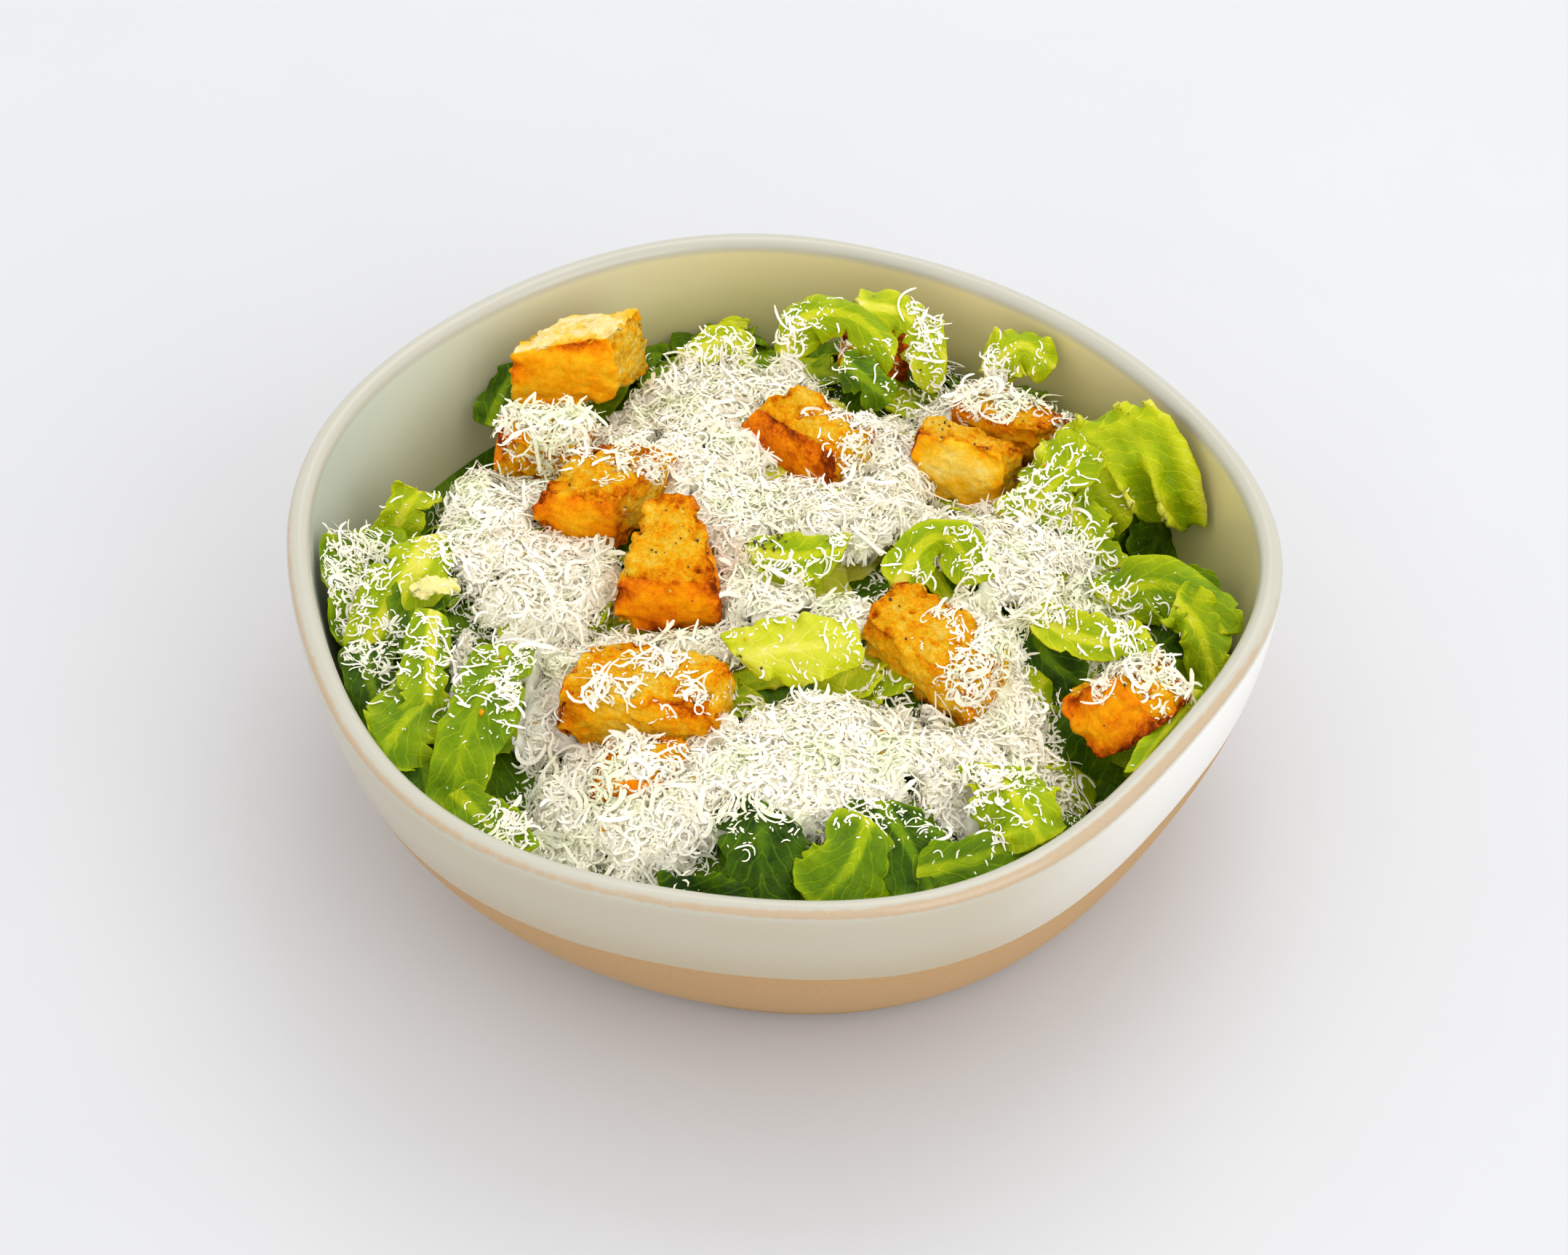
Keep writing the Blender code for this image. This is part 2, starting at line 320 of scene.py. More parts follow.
@dataclass(frozen=True)
class GlazedStoneware:
    """Pale glaze over tan clay, which is bare below a dipped line and shows where the glaze ran thin."""

    # Partly painted shade: the outer glaze is darker and warmer than the same glaze inside
    outside: Colour = shade(186, 176, 154)
    outside_low: Colour = shade(180, 164, 134)
    # Painted light: the outside turns lighter towards +X, as if lit from the right
    outside_painted_light: Colour = shade(236, 234, 230)
    lip: Colour = shade(184, 180, 165)
    inside_cool: Colour = shade(212, 219, 204)
    # Painted reflection: the inside is tinted yellow towards the back and right, as if lit by light bounced
    # off the salad
    inside_painted_bounce: Colour = shade(236, 220, 160)
    # Darker lower down: partly glaze pooled in the bottom, partly painted shade
    pooled_and_shaded: Colour = shade(178, 174, 140)
    pooled_shaded_bounce: Colour = shade(212, 204, 124)
    bounce_side: Point = (0.75, 0.66, 0.0)
    cloud: Colour = shade(196, 200, 186)
    cloudiness: float = 0.16
    clay: Colour = shade(194, 158, 110)
    clay_dark: Colour = shade(170, 130, 84)
    line_height: float = 0.0500
    line_lean: Range = (-0.0020, 0.0044)
    line_edge: float = 0.0002
    line_waver_mm: float = 0.5
    thin_band: float = 0.013
    worn_through: float = 0.6
    lip_band: Range = (0.0664, 0.0686)
    pool_and_shade_heights: Range = (0.068, 0.036)
    roughness: Range = (0.17, 0.78)

    def material(self, middle: Vector) -> Material:
        """The finish, for a bowl whose foot stands round this point.

        Args:
            middle: the foot's axis.

        Returns:
            A material that reads the attributes "outside" and "thin".
        """
        graph = MaterialGraph("dipped_glaze")
        centred = graph.value(
            "ShaderNodeVectorMath", {0: graph.place, 1: tuple(middle)}, operation="SUBTRACT"
        )
        x, y, z = (Value(graph, way) for way in graph.add("ShaderNodeSeparateXYZ", {0: centred}).outputs)
        radius = graph.math("SQRT", x * x + y * y)
        lean = x / radius * self.line_lean[0] + y / radius * self.line_lean[1]
        waver = graph.span(graph.noise(14, 2), -self.line_waver_mm * MM, self.line_waver_mm * MM)
        depth = lean + (waver + self.line_height) - z
        outside = graph.attribute("outside")
        bare = graph.step(depth, -self.line_edge, self.line_edge) * outside
        worn = graph.attribute("thin") + graph.span(graph.noise(2.2, 3), -0.35, 0.35)
        shows = graph.math("MAXIMUM", bare, graph.step(worn, 0.3, 0.9) * self.worn_through)

        # Painted reflection: the yellow tint on the side towards the back and right
        sides = {0: centred, 1: self.bounce_side}
        side = graph.value("ShaderNodeVectorMath", sides, "Value", operation="DOT_PRODUCT")
        warm = graph.step(side / radius, -0.55, 0.75)
        upper = graph.mix(warm, self.inside_cool, self.inside_painted_bounce)
        lower = graph.mix(warm, self.pooled_and_shaded, self.pooled_shaded_bounce)
        # Darker and greener lower down: partly pooled glaze, partly painted shade
        inside = graph.mix(graph.step(z, *self.pool_and_shade_heights), upper, lower)
        # The outer glaze, darker than inside: partly its own colour, partly painted shade
        wall = graph.mix(graph.step(depth, -self.thin_band, 0.0), self.outside, self.outside_low)
        # Painted light: lighter towards +X
        wall = graph.mix(graph.step(x / radius, 0.25, 0.85), wall, self.outside_painted_light)
        glaze = graph.mix(graph.step(z, *self.lip_band), graph.mix(outside, inside, wall), self.lip)
        cloudy = graph.mix(graph.span(graph.noise(22, 4), 0.0, self.cloudiness), glaze, self.cloud)
        clay = graph.mix(graph.noise(0.9, 5, 0.7), self.clay, self.clay_dark)
        graph.bump(graph.noise(0.5, 4, 0.7) * graph.span(bare, 0.12, 1.0), 0.05)
        return graph.finish(
            Base_Color=graph.mix(shows, cloudy, clay),
            Roughness=graph.span(bare, *self.roughness),
            Specular_IOR_Level=0.5,
        )


@dataclass(frozen=True)
class LeafFinish:
    """Crisp lettuce: pale at the rib and in the heart, deep green outside, with branching veins."""

    tones: tuple[tuple[float, Colour], ...] = (
        (0.00, shade(232, 222, 148)),
        (0.16, shade(216, 211, 82)),
        (0.36, shade(188, 193, 20)),
        (0.54, shade(142, 163, 7)),
        (0.72, shade(98, 129, 4)),
        (0.88, shade(60, 90, 3)),
        (1.00, shade(26, 50, 2)),
    )
    vein_spacing_mm: float = 5.2
    vein_slant: float = 2.0
    vein_wander_mm: float = 5.0
    net_size_mm: float = 2.6
    mottle: float = 0.15
    lighter_vein: float = 0.12
    lighter_net: float = 0.03
    lighter_rib: float = 0.26

    def material(self) -> Material:
        """The finish of every leaf and of the heap's core.

        Returns:
            A material that reads the attributes "tone", "rib", "across" and "along".
        """
        graph = MaterialGraph("crisp_leaf")
        slanted = graph.attribute("along") - abs(graph.attribute("across")) * self.vein_slant
        wander = graph.span(graph.noise(7, 2), -self.vein_wander_mm, self.vein_wander_mm)
        cycle = graph.math("FRACT", (slanted + wander) / self.vein_spacing_mm)
        vein = graph.step(abs(cycle - 0.5), 0.38, 0.5)
        net_inputs = {"Vector": graph.place, "Scale": 1 / (self.net_size_mm * MM)}
        cells = graph.value("ShaderNodeTexVoronoi", net_inputs, "Distance", feature="DISTANCE_TO_EDGE")
        net = graph.step(cells, 0.12, 0.0)
        lighter = graph.math("MAXIMUM", vein * self.lighter_vein, net * self.lighter_net)
        lighter = lighter + graph.attribute("rib") * self.lighter_rib
        mottle = graph.span(graph.noise(6, 3), -self.mottle, self.mottle)
        tone = graph.attribute("tone") + mottle - lighter
        graph.bump(graph.noise(1.8, 3) - (vein + net) * 0.3, 0.32, 0.8)
        return graph.finish(
            Base_Color=graph.ramp(tone, self.tones),
            Roughness=graph.span(graph.noise(4, 2), 0.24, 0.46),
            Subsurface_Weight=0.2,
            Subsurface_Radius=(0.9, 1.0, 0.05),
            Subsurface_Scale=0.0012,
            Specular_IOR_Level=0.08,
        )


@dataclass(frozen=True)
class CheeseFinish:
    """Dry hard cheese: cream white, with yellower painted shade between the strands that it draws."""

    pale: Colour = shade(254, 252, 246)
    warm: Colour = shade(252, 244, 221)
    # Painted shade: the colour between the strands that the material draws
    strand_gap_shade: Colour = shade(244, 238, 202)
    tinted: Colour = shade(243, 245, 214)
    strand_sizes_mm: Range = (3.0, 1.9)

    def material(self) -> Material:
        """The finish of shreds and of the mass under them.

        Returns:
            A material that draws strands on the mass.
        """
        graph = MaterialGraph("grated_hard_cheese")
        strands = (graph.step(abs(graph.noise(size, 1) - 0.5), 0.055, 0.015) for size in self.strand_sizes_mm)
        strand = graph.math("MAXIMUM", *strands)
        surface = graph.mix(graph.noise(7, 4, 0.6), self.pale, self.warm)
        surface = graph.mix(graph.step(graph.noise(12, 2), 0.50, 0.68), surface, self.tinted)
        # Painted shade: away from the drawn strands the colour leans towards the shade colour
        colour = graph.mix(strand, graph.mix(0.45, surface, self.strand_gap_shade), surface)
        graph.bump(strand + graph.noise(0.7, 3, 0.7), 0.07, 0.6)
        return graph.finish(Base_Color=colour, Roughness=0.5, Specular_IOR_Level=0.25)


@dataclass(frozen=True)
class BreadFinish:
    """Bread fried in oil: pale crumb, golden where it caught the pan, brown crust at the edges."""

    browning: tuple[tuple[float, Colour], ...] = (
        (0.00, shade(255, 238, 176)),
        (0.20, shade(255, 218, 96)),
        (0.40, shade(255, 194, 28)),
        (0.58, shade(254, 164, 4)),
        (0.74, shade(240, 130, 2)),
        (0.88, shade(196, 86, 2)),
        (1.00, shade(118, 44, 3)),
    )
    blotch: float = 0.22
    speckle: Range = (-0.52, 0.48)
    # Painted shade: the crumb is browner in its pits
    pit_shade: float = 0.20

    def material(self) -> Material:
        """The finish of croutons and crumbs.

        Returns:
            A material that reads the attributes "toast", "pit" and "crust".
        """
        graph = MaterialGraph("fried_bread")
        crust = graph.attribute("crust")
        blotches = graph.span(graph.noise(5.0, 4, 0.6), -self.blotch, self.blotch)
        speckle = graph.span(graph.noise(0.9, 3, 0.7), *self.speckle) * graph.span(crust, 1.0, 0.45)
        toast = graph.attribute("toast") + (blotches + speckle)
        # Painted shade: browner in the pits
        pitted = toast + graph.attribute("pit") * self.pit_shade
        graph.bump(graph.noise(0.6, 4, 0.75) * graph.span(crust, 1.0, 0.35), 0.9, 1.0)
        return graph.finish(
            Base_Color=graph.ramp(pitted, self.browning),
            Roughness=graph.span(graph.noise(3, 2), 0.34, 0.62),
            Specular_IOR_Level=0.05,
        )


@dataclass(frozen=True)
class PlainFinish:
    """One colour with a faint mottle, for the floor and for ground pepper."""

    name: str
    colour: Colour
    mottle: Colour
    size_mm: float
    roughness: float

    def material(self) -> Material:
        """The finish.

        Returns:
            A material of its own name.
        """
        graph = MaterialGraph(self.name)
        mottled = graph.mix(graph.noise(self.size_mm, 4), self.colour, self.mottle)
        return graph.finish(Base_Color=mottled, Roughness=self.roughness)


# ------------ mesh building


def new_object(name: str, data: ID) -> Object:
    """A new object, linked to the scene.

    Args:
        name: its name.
        data: its mesh, lamp or camera.

    Returns:
        The object.
    """
    obj = bpy.data.objects.new(name, data)
    bpy.context.scene.collection.objects.link(obj)
    return obj


def freeze(obj: Object) -> Mesh:
    """Makes what an object's modifiers give its plain mesh, and removes them.

    Args:
        obj: the object.

    Returns:
        Its new mesh.
    """
    mesh = bpy.data.meshes.new_from_object(obj.evaluated_get(bpy.context.evaluated_depsgraph_get()))
    obj.modifiers.clear()
    obj.data = mesh
    return mesh


def face_outwards(mesh: Mesh) -> None:
    """Turns the faces of closed shapes outwards.

    Args:
        mesh: the mesh that holds them.
    """
    edit = bmesh.new()
    edit.from_mesh(mesh)
    bmesh.ops.recalc_face_normals(edit, faces=edit.faces)
    edit.to_mesh(mesh)
    edit.free()


def read(items: Sequence, name: str, width: int = 1) -> Array:
    """Reads one property of every item.

    Args:
        items: a mesh's vertices, or an attribute's data.
        name: the property.
        width: how many numbers an item has.

    Returns:
        One number an item, or one row where the width isn't 1.
    """
    values = np.zeros(len(items) * width)
    items.foreach_get(name, values)
    return values if width == 1 else values.reshape(-1, width)


def store(mesh: Mesh, **values: Sequence[float]) -> None:
    """Stores numbers at a mesh's points, by attribute name."""
    for name, numbers in values.items():
        mesh.attributes.new(name, "FLOAT", "POINT").data.foreach_set("value", numbers)


def grid_faces(rows: int, columns: int, wrap: bool = False) -> list[tuple[int, ...]]:
    """The quads of a grid of points stored row by row.

    Args:
        rows, columns: the grid's size.
        wrap: whether the last column joins the first.

    Returns:
        One quad for each cell.
    """
    faces = []
    for row in range(rows - 1):
        low, high = row * columns, (row + 1) * columns
        for column in range(columns if wrap else columns - 1):
            right = (column + 1) % columns
            faces.append((low + column, low + right, high + right, high + column))
    return faces


def closed_rings(rings: int, sectors: int) -> list[tuple[int, ...]]:
    """The faces of a stack of rings with a cap at either end."""
    caps = tuple(range(sectors)), tuple(range((rings - 1) * sectors, rings * sectors))
    return [*grid_faces(rings, sectors, wrap=True), *caps]


def ring(angle: Array, radius: Array, height: Array | float) -> Array:
    """The points of a ring about the Z axis, with a radius in each direction."""
    return np.stack([radius * np.cos(angle), radius * np.sin(angle), 0 * angle + height], 1)


def top_at(tree: BVHTree, x: float, y: float) -> float:
    """How high a surface reaches at one place, or NOWHERE."""
    hit = tree.ray_cast(Vector((x, y, CEILING)), DOWN)[0]
    return NOWHERE if hit is None else hit.z


class MeshPile:
    """Collects closed shapes into one mesh, with named numbers at its points."""

    def __init__(self) -> None:
        """Starts empty."""
        self.points: list[Array] = []
        self.faces: list[tuple[int, ...]] = []
        self.values: dict[str, list[Array]] = {}
        self.count = 0

    def add(self, points: Array, faces: Iterable[Sequence[int]], **values: Array) -> None:
        """Adds one shape.

        Args:
            points: its points, N by 3, in metres.
            faces: its faces, as indices into its own points.
            values: one number a point, by attribute name.
        """
        self.faces.extend(tuple(int(i) + self.count for i in face) for face in faces)
        self.points.append(np.asarray(points, float))
        for name, numbers in values.items():
            self.values.setdefault(name, []).append(np.asarray(numbers, float))
        self.count += len(points)

    def mesh(self, name: str) -> Mesh:
        """Makes one mesh of the shapes.

        Args:
            name: the mesh's name.

        Returns:
            The mesh, with the numbers as its attributes.
        """
        mesh = bpy.data.meshes.new(name)
        mesh.from_pydata(np.concatenate(self.points).tolist(), [], self.faces)
        for name, numbers in self.values.items():
            store(mesh, **{name: np.concatenate(numbers).astype(np.float32)})
        return mesh

    def build(self, name: str, finish: Material, smooth: bool = True) -> Object:
        """Makes the object.

        Args:
            name: the piece's name.
            finish: its material.
            smooth: whether its faces are shaded smooth.

        Returns:
            The linked object, with its faces pointing out.
        """
        mesh = self.mesh(name)
        face_outwards(mesh)
        mesh.materials.append(finish)
        if smooth:
            mesh.shade_smooth()
        return new_object(name, mesh)


def report(piece: Object, slot: str, *nodes: str) -> None:
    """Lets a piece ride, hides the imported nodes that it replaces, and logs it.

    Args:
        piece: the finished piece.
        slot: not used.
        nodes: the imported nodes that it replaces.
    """
    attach(piece, BODY)
    if nodes:
        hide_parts(*nodes)
    triangles = sum(len(face.vertices) - 2 for face in piece.data.polygons)
    log.info("%s: %d triangles", piece.name, triangles)


# ------------ the bowl


@dataclass
class Bowl:
    """The bowl: foot, wall, rounded lip and inside, with the slight unevenness of hand work.

    lip_wear gives where the glaze ran thin: a direction and a width in degrees, and how much.
    """

    finish: GlazedStoneware = field(default_factory=GlazedStoneware)
    heel_radius: float = 0.073
    heel_height: float = 0.005
    wall: float = 0.005
    floor_height: float = 0.0075
    floor_dish: float = 0.0015
    foot_edge: float = 0.00025
    sectors: int = 320
    heel_rings: int = 5
    wall_rings: int = 28
    lip_rings: int = 10
    lip_outside: Range = (2.2, 1.0)
    harmonics: int = 6
    unevenness: float = 0.00025
    dent_size: float = 0.028
    clearance: float = 0.0006
    squeeze: float = 0.003
    headroom: float = 0.0003
    wear_everywhere: float = 0.22
    wear_band_mm: Range = (1.0, 0.8)
    lip_wear: tuple[tuple[float, float, float], ...] = (
        (205, 42, 0.75),
        (262, 30, 0.45),
        (306, 30, 2.00),
        (58, 20, 0.60),
    )

    def read_solid(self) -> None:
        """Reads the foot's axis and radius, the height and the rim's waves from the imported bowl."""
        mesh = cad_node("bowl").data
        points = np.array([vert.co for vert in mesh.vertices])
        self.height = float(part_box("bowl")[1].z)
        self.food_top = float(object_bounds()[1].z) - self.headroom
        foot = np.unique(np.round(points[points[:, 2] < 1e-5], 6), axis=0)[:, :2]
        spread = np.hypot(*(foot - foot.mean(0)).T)
        edge = foot[spread > 0.5 * spread.max()]
        self.middle = Vector((*edge.mean(0), 0.0))
        self.foot_radius = float(np.hypot(*(edge - edge.mean(0)).T).mean())
        shoulder = self.height - self.wall / 2
        level = points[np.abs(points[:, 2] - shoulder) < 1e-5][:, :2] - np.array(self.middle.xy)
        turns = np.arctan2(level[:, 1], level[:, 0]) % math.tau
        count = len(np.unique(np.round(np.cos(turns), 4) + 10 * np.round(np.sin(turns), 4)))
        sectors = np.round(turns / math.tau * count).astype(int) % count
        radii = np.zeros(count)
        np.maximum.at(radii, sectors, np.hypot(*level.T))
        log.info("bowl: foot at %s, %d sectors, mean rim %.4f", tuple(self.middle), count, radii.mean())
        self.waves = np.fft.rfft(radii)[: self.harmonics + 1] / count
        self.shoulder_share = 1 - (1 - shoulder / self.height) ** 2

    def rim_radius(self, angle: Array) -> Array:
        """The rim's waves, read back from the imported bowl.

        Args:
            angle: directions about the foot's axis.

        Returns:
            The radius of the rim's outer edge in each direction.
        """
        total = np.full_like(angle, self.waves[0].real)
        for order in range(1, len(self.waves)):
            total += 2 * (self.waves[order] * np.exp(1j * order * angle)).real
        return self.heel_radius + (total - self.heel_radius) / self.shoulder_share

    def wall_radius(self, angle: Array, height: Array | float) -> Array:
        """Outer radius of the wall: a parabola from the heel that stands upright at the rim."""
        share = np.clip(np.asarray(height) / self.height, 0, 1)
        return self.heel_radius + (self.rim_radius(angle) - self.heel_radius) * (1 - (1 - share) ** 2)

    def inner_radius(self, angle: Array, height: Array | float) -> Array:
        """Inner radius of the wall at each angle and height."""
        return self.wall_radius(angle, height) - self.wall

    def contain(self, points: Array) -> Array:
        """Keeps food off the wall and under the object's top, squeezing softly what would cross them.

        Args:
            points: places of the food, N by 3, in metres.

        Returns:
            The places, moved in where needed.
        """
        away = points[:, :2] - np.array(self.middle.xy)
        reach = np.maximum(np.hypot(*away.T), 1e-6)
        limit = self.inner_radius(np.arctan2(away[:, 1], away[:, 0]), points[:, 2]) - self.clearance
        held = self.squeezed(reach, limit, self.squeeze)
        moved = points.copy()
        moved[:, :2] = np.array(self.middle.xy) + away * (held / reach)[:, None]
        moved[:, 2] = self.squeezed(points[:, 2], self.food_top, self.squeeze / 2)
        return moved

    def hold(self, pile: MeshPile) -> MeshPile:
        """Keeps each shape of a pile of food off the wall and under the top."""
        pile.points = [self.contain(points) for points in pile.points]
        return pile

    @staticmethod
    def squeezed(values: Array, limit: Array | float, span: float) -> Array:
        """Values that never pass the limit: those within a span of it are drawn closer together."""
        start = limit - span
        return np.where(values > start, limit - span * np.exp(-np.maximum(values - start, 0) / span), values)

    def profile(self, angle: Array) -> list[tuple[Array, float, float]]:
        """The rings from the foot, up the outside, over the lip and down to the floor.

        Args:
            angle: the directions of the ring's points.

        Returns:
            (radius at each angle, height, share that counts as outside) for each ring.
        """
        flat = np.zeros_like(angle)
        foot = flat + self.foot_radius
        heel = self.wall_radius(angle, self.heel_height)
        rings = [(foot * share, 0.0, 1.0) for share in (0.02, 0.5, 0.985)]
        rings.append((foot, self.foot_edge, 1.0))
        for turn in np.linspace(0.2, 1.0, self.heel_rings) * math.pi / 2:
            out, rise = math.sin(turn), 1 - math.cos(turn)
            rings.append((foot + (heel - foot) * out, self.heel_height * rise, 1.0))
        lip = self.wall / 2
        shoulder = self.height - lip
        for height in np.linspace(self.heel_height, shoulder, self.wall_rings)[1:]:
            rings.append((self.wall_radius(angle, height), float(height), 1.0))
        edge = self.wall_radius(angle, shoulder)
        for turn in np.linspace(0, math.pi, self.lip_rings + 2)[1:-1]:
            inset = lip * (1 - math.cos(turn))
            outside = float(smoothstep(turn, *self.lip_outside))
            rings.append((edge - inset, shoulder + lip * math.sin(turn), outside))
        floor = self.floor_height + self.heel_height
        for height in np.linspace(shoulder, floor, self.wall_rings):
            rings.append((self.inner_radius(angle, height), float(height), 0.0))
        dish = foot + 0.6 * (self.inner_radius(angle, floor) - foot)
        rings.append((dish, self.floor_height + self.floor_dish, 0.0))
        rings += [(foot * share, self.floor_height, 0.0) for share in (0.95, 0.5, 0.02)]
        return rings

    def wear(self, angle: Array, height: float, outside: float) -> Array:
        """How thin the glaze is on the lip's outer turn.

        Args:
            angle: directions about the foot's axis.
            height: the ring's height.
            outside: the share of the ring that counts as outside.

        Returns:
            A strength for each direction.
        """
        strength = np.full_like(angle, self.wear_everywhere)
        for centre, width, change in self.lip_wear:
            off = (np.degrees(angle) - centre + 180) % 360 - 180
            strength += change * np.exp(-((off / width) ** 2))
        below_top = (self.height - height) / MM
        middle, width = self.wear_band_mm
        band = math.exp(-(((below_top - middle) / width) ** 2)) * outside
        return strength * band

    def build(self) -> Object:
        """Builds and dresses the bowl.

        Returns:
            The piece, in place of the solid.
        """
        angle = np.linspace(0, math.tau, self.sectors, endpoint=False)
        across = ring(angle, np.ones_like(angle), 0.0)
        rings = self.profile(angle)
        points, outside, thin = [], [], []
        for radius, height, side in rings:
            place = across * radius[:, None] + np.array([0, 0, height])
            dent = self.unevenness * (1 + noise_at(place, self.dent_size, 4.0 + side)) / 2
            place -= across * (dent * smoothstep(height, 0.004, 0.02))[:, None]
            place[:, 2] -= dent * smoothstep(height, 0.055, self.height)
            points.append(place + np.array(self.middle))
            outside.append(np.full(len(angle), side))
            thin.append(self.wear(angle, height, side))
        values = {"outside": np.concatenate(outside), "thin": np.concatenate(thin)}
        pile = MeshPile()
        pile.add(np.concatenate(points), closed_rings(len(rings), self.sectors), **values)
        piece = pile.build("stoneware_bowl", self.finish.material(self.middle))
        report(piece, "glazed_stoneware", "bowl")
        return piece


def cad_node(name: str) -> Object:
    """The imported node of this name."""
    return frame["nodes"][name]


def solid_copy(name: str) -> bmesh.types.BMesh:
    """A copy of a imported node's mesh with its triangles joined.

    Args:
        name: the node's name.

    Returns:
        An edit mesh that the caller frees.
    """
    edit = bmesh.new()
    edit.from_mesh(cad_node(name).data)
    bmesh.ops.remove_doubles(edit, verts=edit.verts, dist=1e-5)
    return edit


# ------------ the surface


@dataclass
class HeightField:
    """Heights over a square plan about the row's origin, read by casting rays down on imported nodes.

    names are the nodes whose tops count, and skip those whose beds are bridged over.
    """

    names: Sequence[str]
    skip: Sequence[str]
    step: float = 0.0016
    reach: float = 0.104
    fill_rounds: int = 260
    hollow_width: float = 0.66
    hollow_length: float = 0.0095

    def __post_init__(self) -> None:
        """Reads the heights."""
        self.axis = np.arange(-self.reach, self.reach + self.step, self.step)
        count = len(self.axis)
        self.heights = np.full((count, count), np.nan)
        trees = [self.tree_of(name) for name in self.names]
        beds = [self.tree_of(name) for name in self.skip]
        for i, x in enumerate(self.axis):
            for j, y in enumerate(self.axis):
                if self.blocked(beds, x, y):
                    continue
                top = max(top_at(tree, x, y) for tree in trees)
                if top > NOWHERE:
                    self.heights[i, j] = top
        self.fill()

    @staticmethod
    def tree_of(name: str) -> BVHTree:
        """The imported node's triangles, ready for rays."""
        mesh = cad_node(name).data
        return BVHTree.FromPolygons([v.co for v in mesh.vertices], [p.vertices[:] for p in mesh.polygons])

    def blocked(self, beds: Sequence[BVHTree], x: float, y: float) -> bool:
        """Whether a bed is within two pitches of a place.

        Args:
            beds: the skipped nodes.
            x, y: the place.

        Returns:
            True where one is.
        """
        margin = 2 * self.step
        near = ((0, 0), (margin, 0), (-margin, 0), (0, margin), (0, -margin))
        return any(top_at(bed, x + dx, y + dy) > NOWHERE for dx, dy in near for bed in beds)

    def fill(self) -> None:
        """Fills the gaps with the mean of what is round them, spread out from their edges."""
        missing = np.isnan(self.heights)
        filled = np.where(missing, np.nanmean(self.heights), self.heights)
        for _ in range(self.fill_rounds):
            padded = np.pad(filled, 1, mode="edge")
            mean = (padded[:-2, 1:-1] + padded[2:, 1:-1] + padded[1:-1, :-2] + padded[1:-1, 2:]) / 4
            filled = np.where(missing, mean, filled)
        self.heights = filled

    def press(self, hollows: dict[str, float]) -> "HeightField":
        """Lowers the heap in front of some croutons, so that their sides show.

        Args:
            hollows: how deep, in millimetres, by the crouton's node.

        Returns:
            This field.
        """
        x, y = np.meshgrid(self.axis, self.axis, indexing="ij")
        for name, depth in hollows.items():
            low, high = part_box(name)
            across = (x - (low.x + high.x) / 2) / (self.hollow_width * (high.x - low.x))
            ahead = (y - low.y) / self.hollow_length
            self.heights -= depth * MM * np.exp(-(across**4) - ahead**2)
        return self

    def at(self, x: Array, y: Array) -> Array:
        """The height at each place, between the grid's points.

        Args:
            x, y: the places.

        Returns:
            Their heights.
        """
        last = len(self.axis) - 1.001
        i = np.clip((np.asarray(x) + self.reach) / self.step, 0, last)
        j = np.clip((np.asarray(y) + self.reach) / self.step, 0, last)
        i0, j0 = i.astype(int), j.astype(int)
        u, v = i - i0, j - j0
        h = self.heights
        low = h[i0, j0] * (1 - u) + h[i0 + 1, j0] * u
        high = h[i0, j0 + 1] * (1 - u) + h[i0 + 1, j0 + 1] * u
        return low * (1 - v) + high * v

    def normal(self, x: float, y: float) -> Vector:
        """The upward normal at one place.

        Args:
            x, y: the place.

        Returns:
            A unit vector.
        """
        d = 2 * self.step
        points = self.at(np.array([x + d, x - d, x, x]), np.array([y, y, y + d, y - d]))
        return Vector((points[1] - points[0], points[3] - points[2], 2 * d)).normalized()


# ------------ lettuce


@dataclass(frozen=True)
class Leaf:
    """One torn piece of lettuce, by its rib and how its blade stands on it. Lengths in millimetres."""

    rib: tuple[Point, ...]
    widths: Range
    facing: Point
    cup: float = 20.0
    ruffle: float = 1.4
    waves: float = 2.5
    tone: float = 0.5
    edge: float = -0.12
    rib_width: float = 1.6
    rib_tone: float = 1.0
    crinkle: float = 1.0
    seed: int = 0


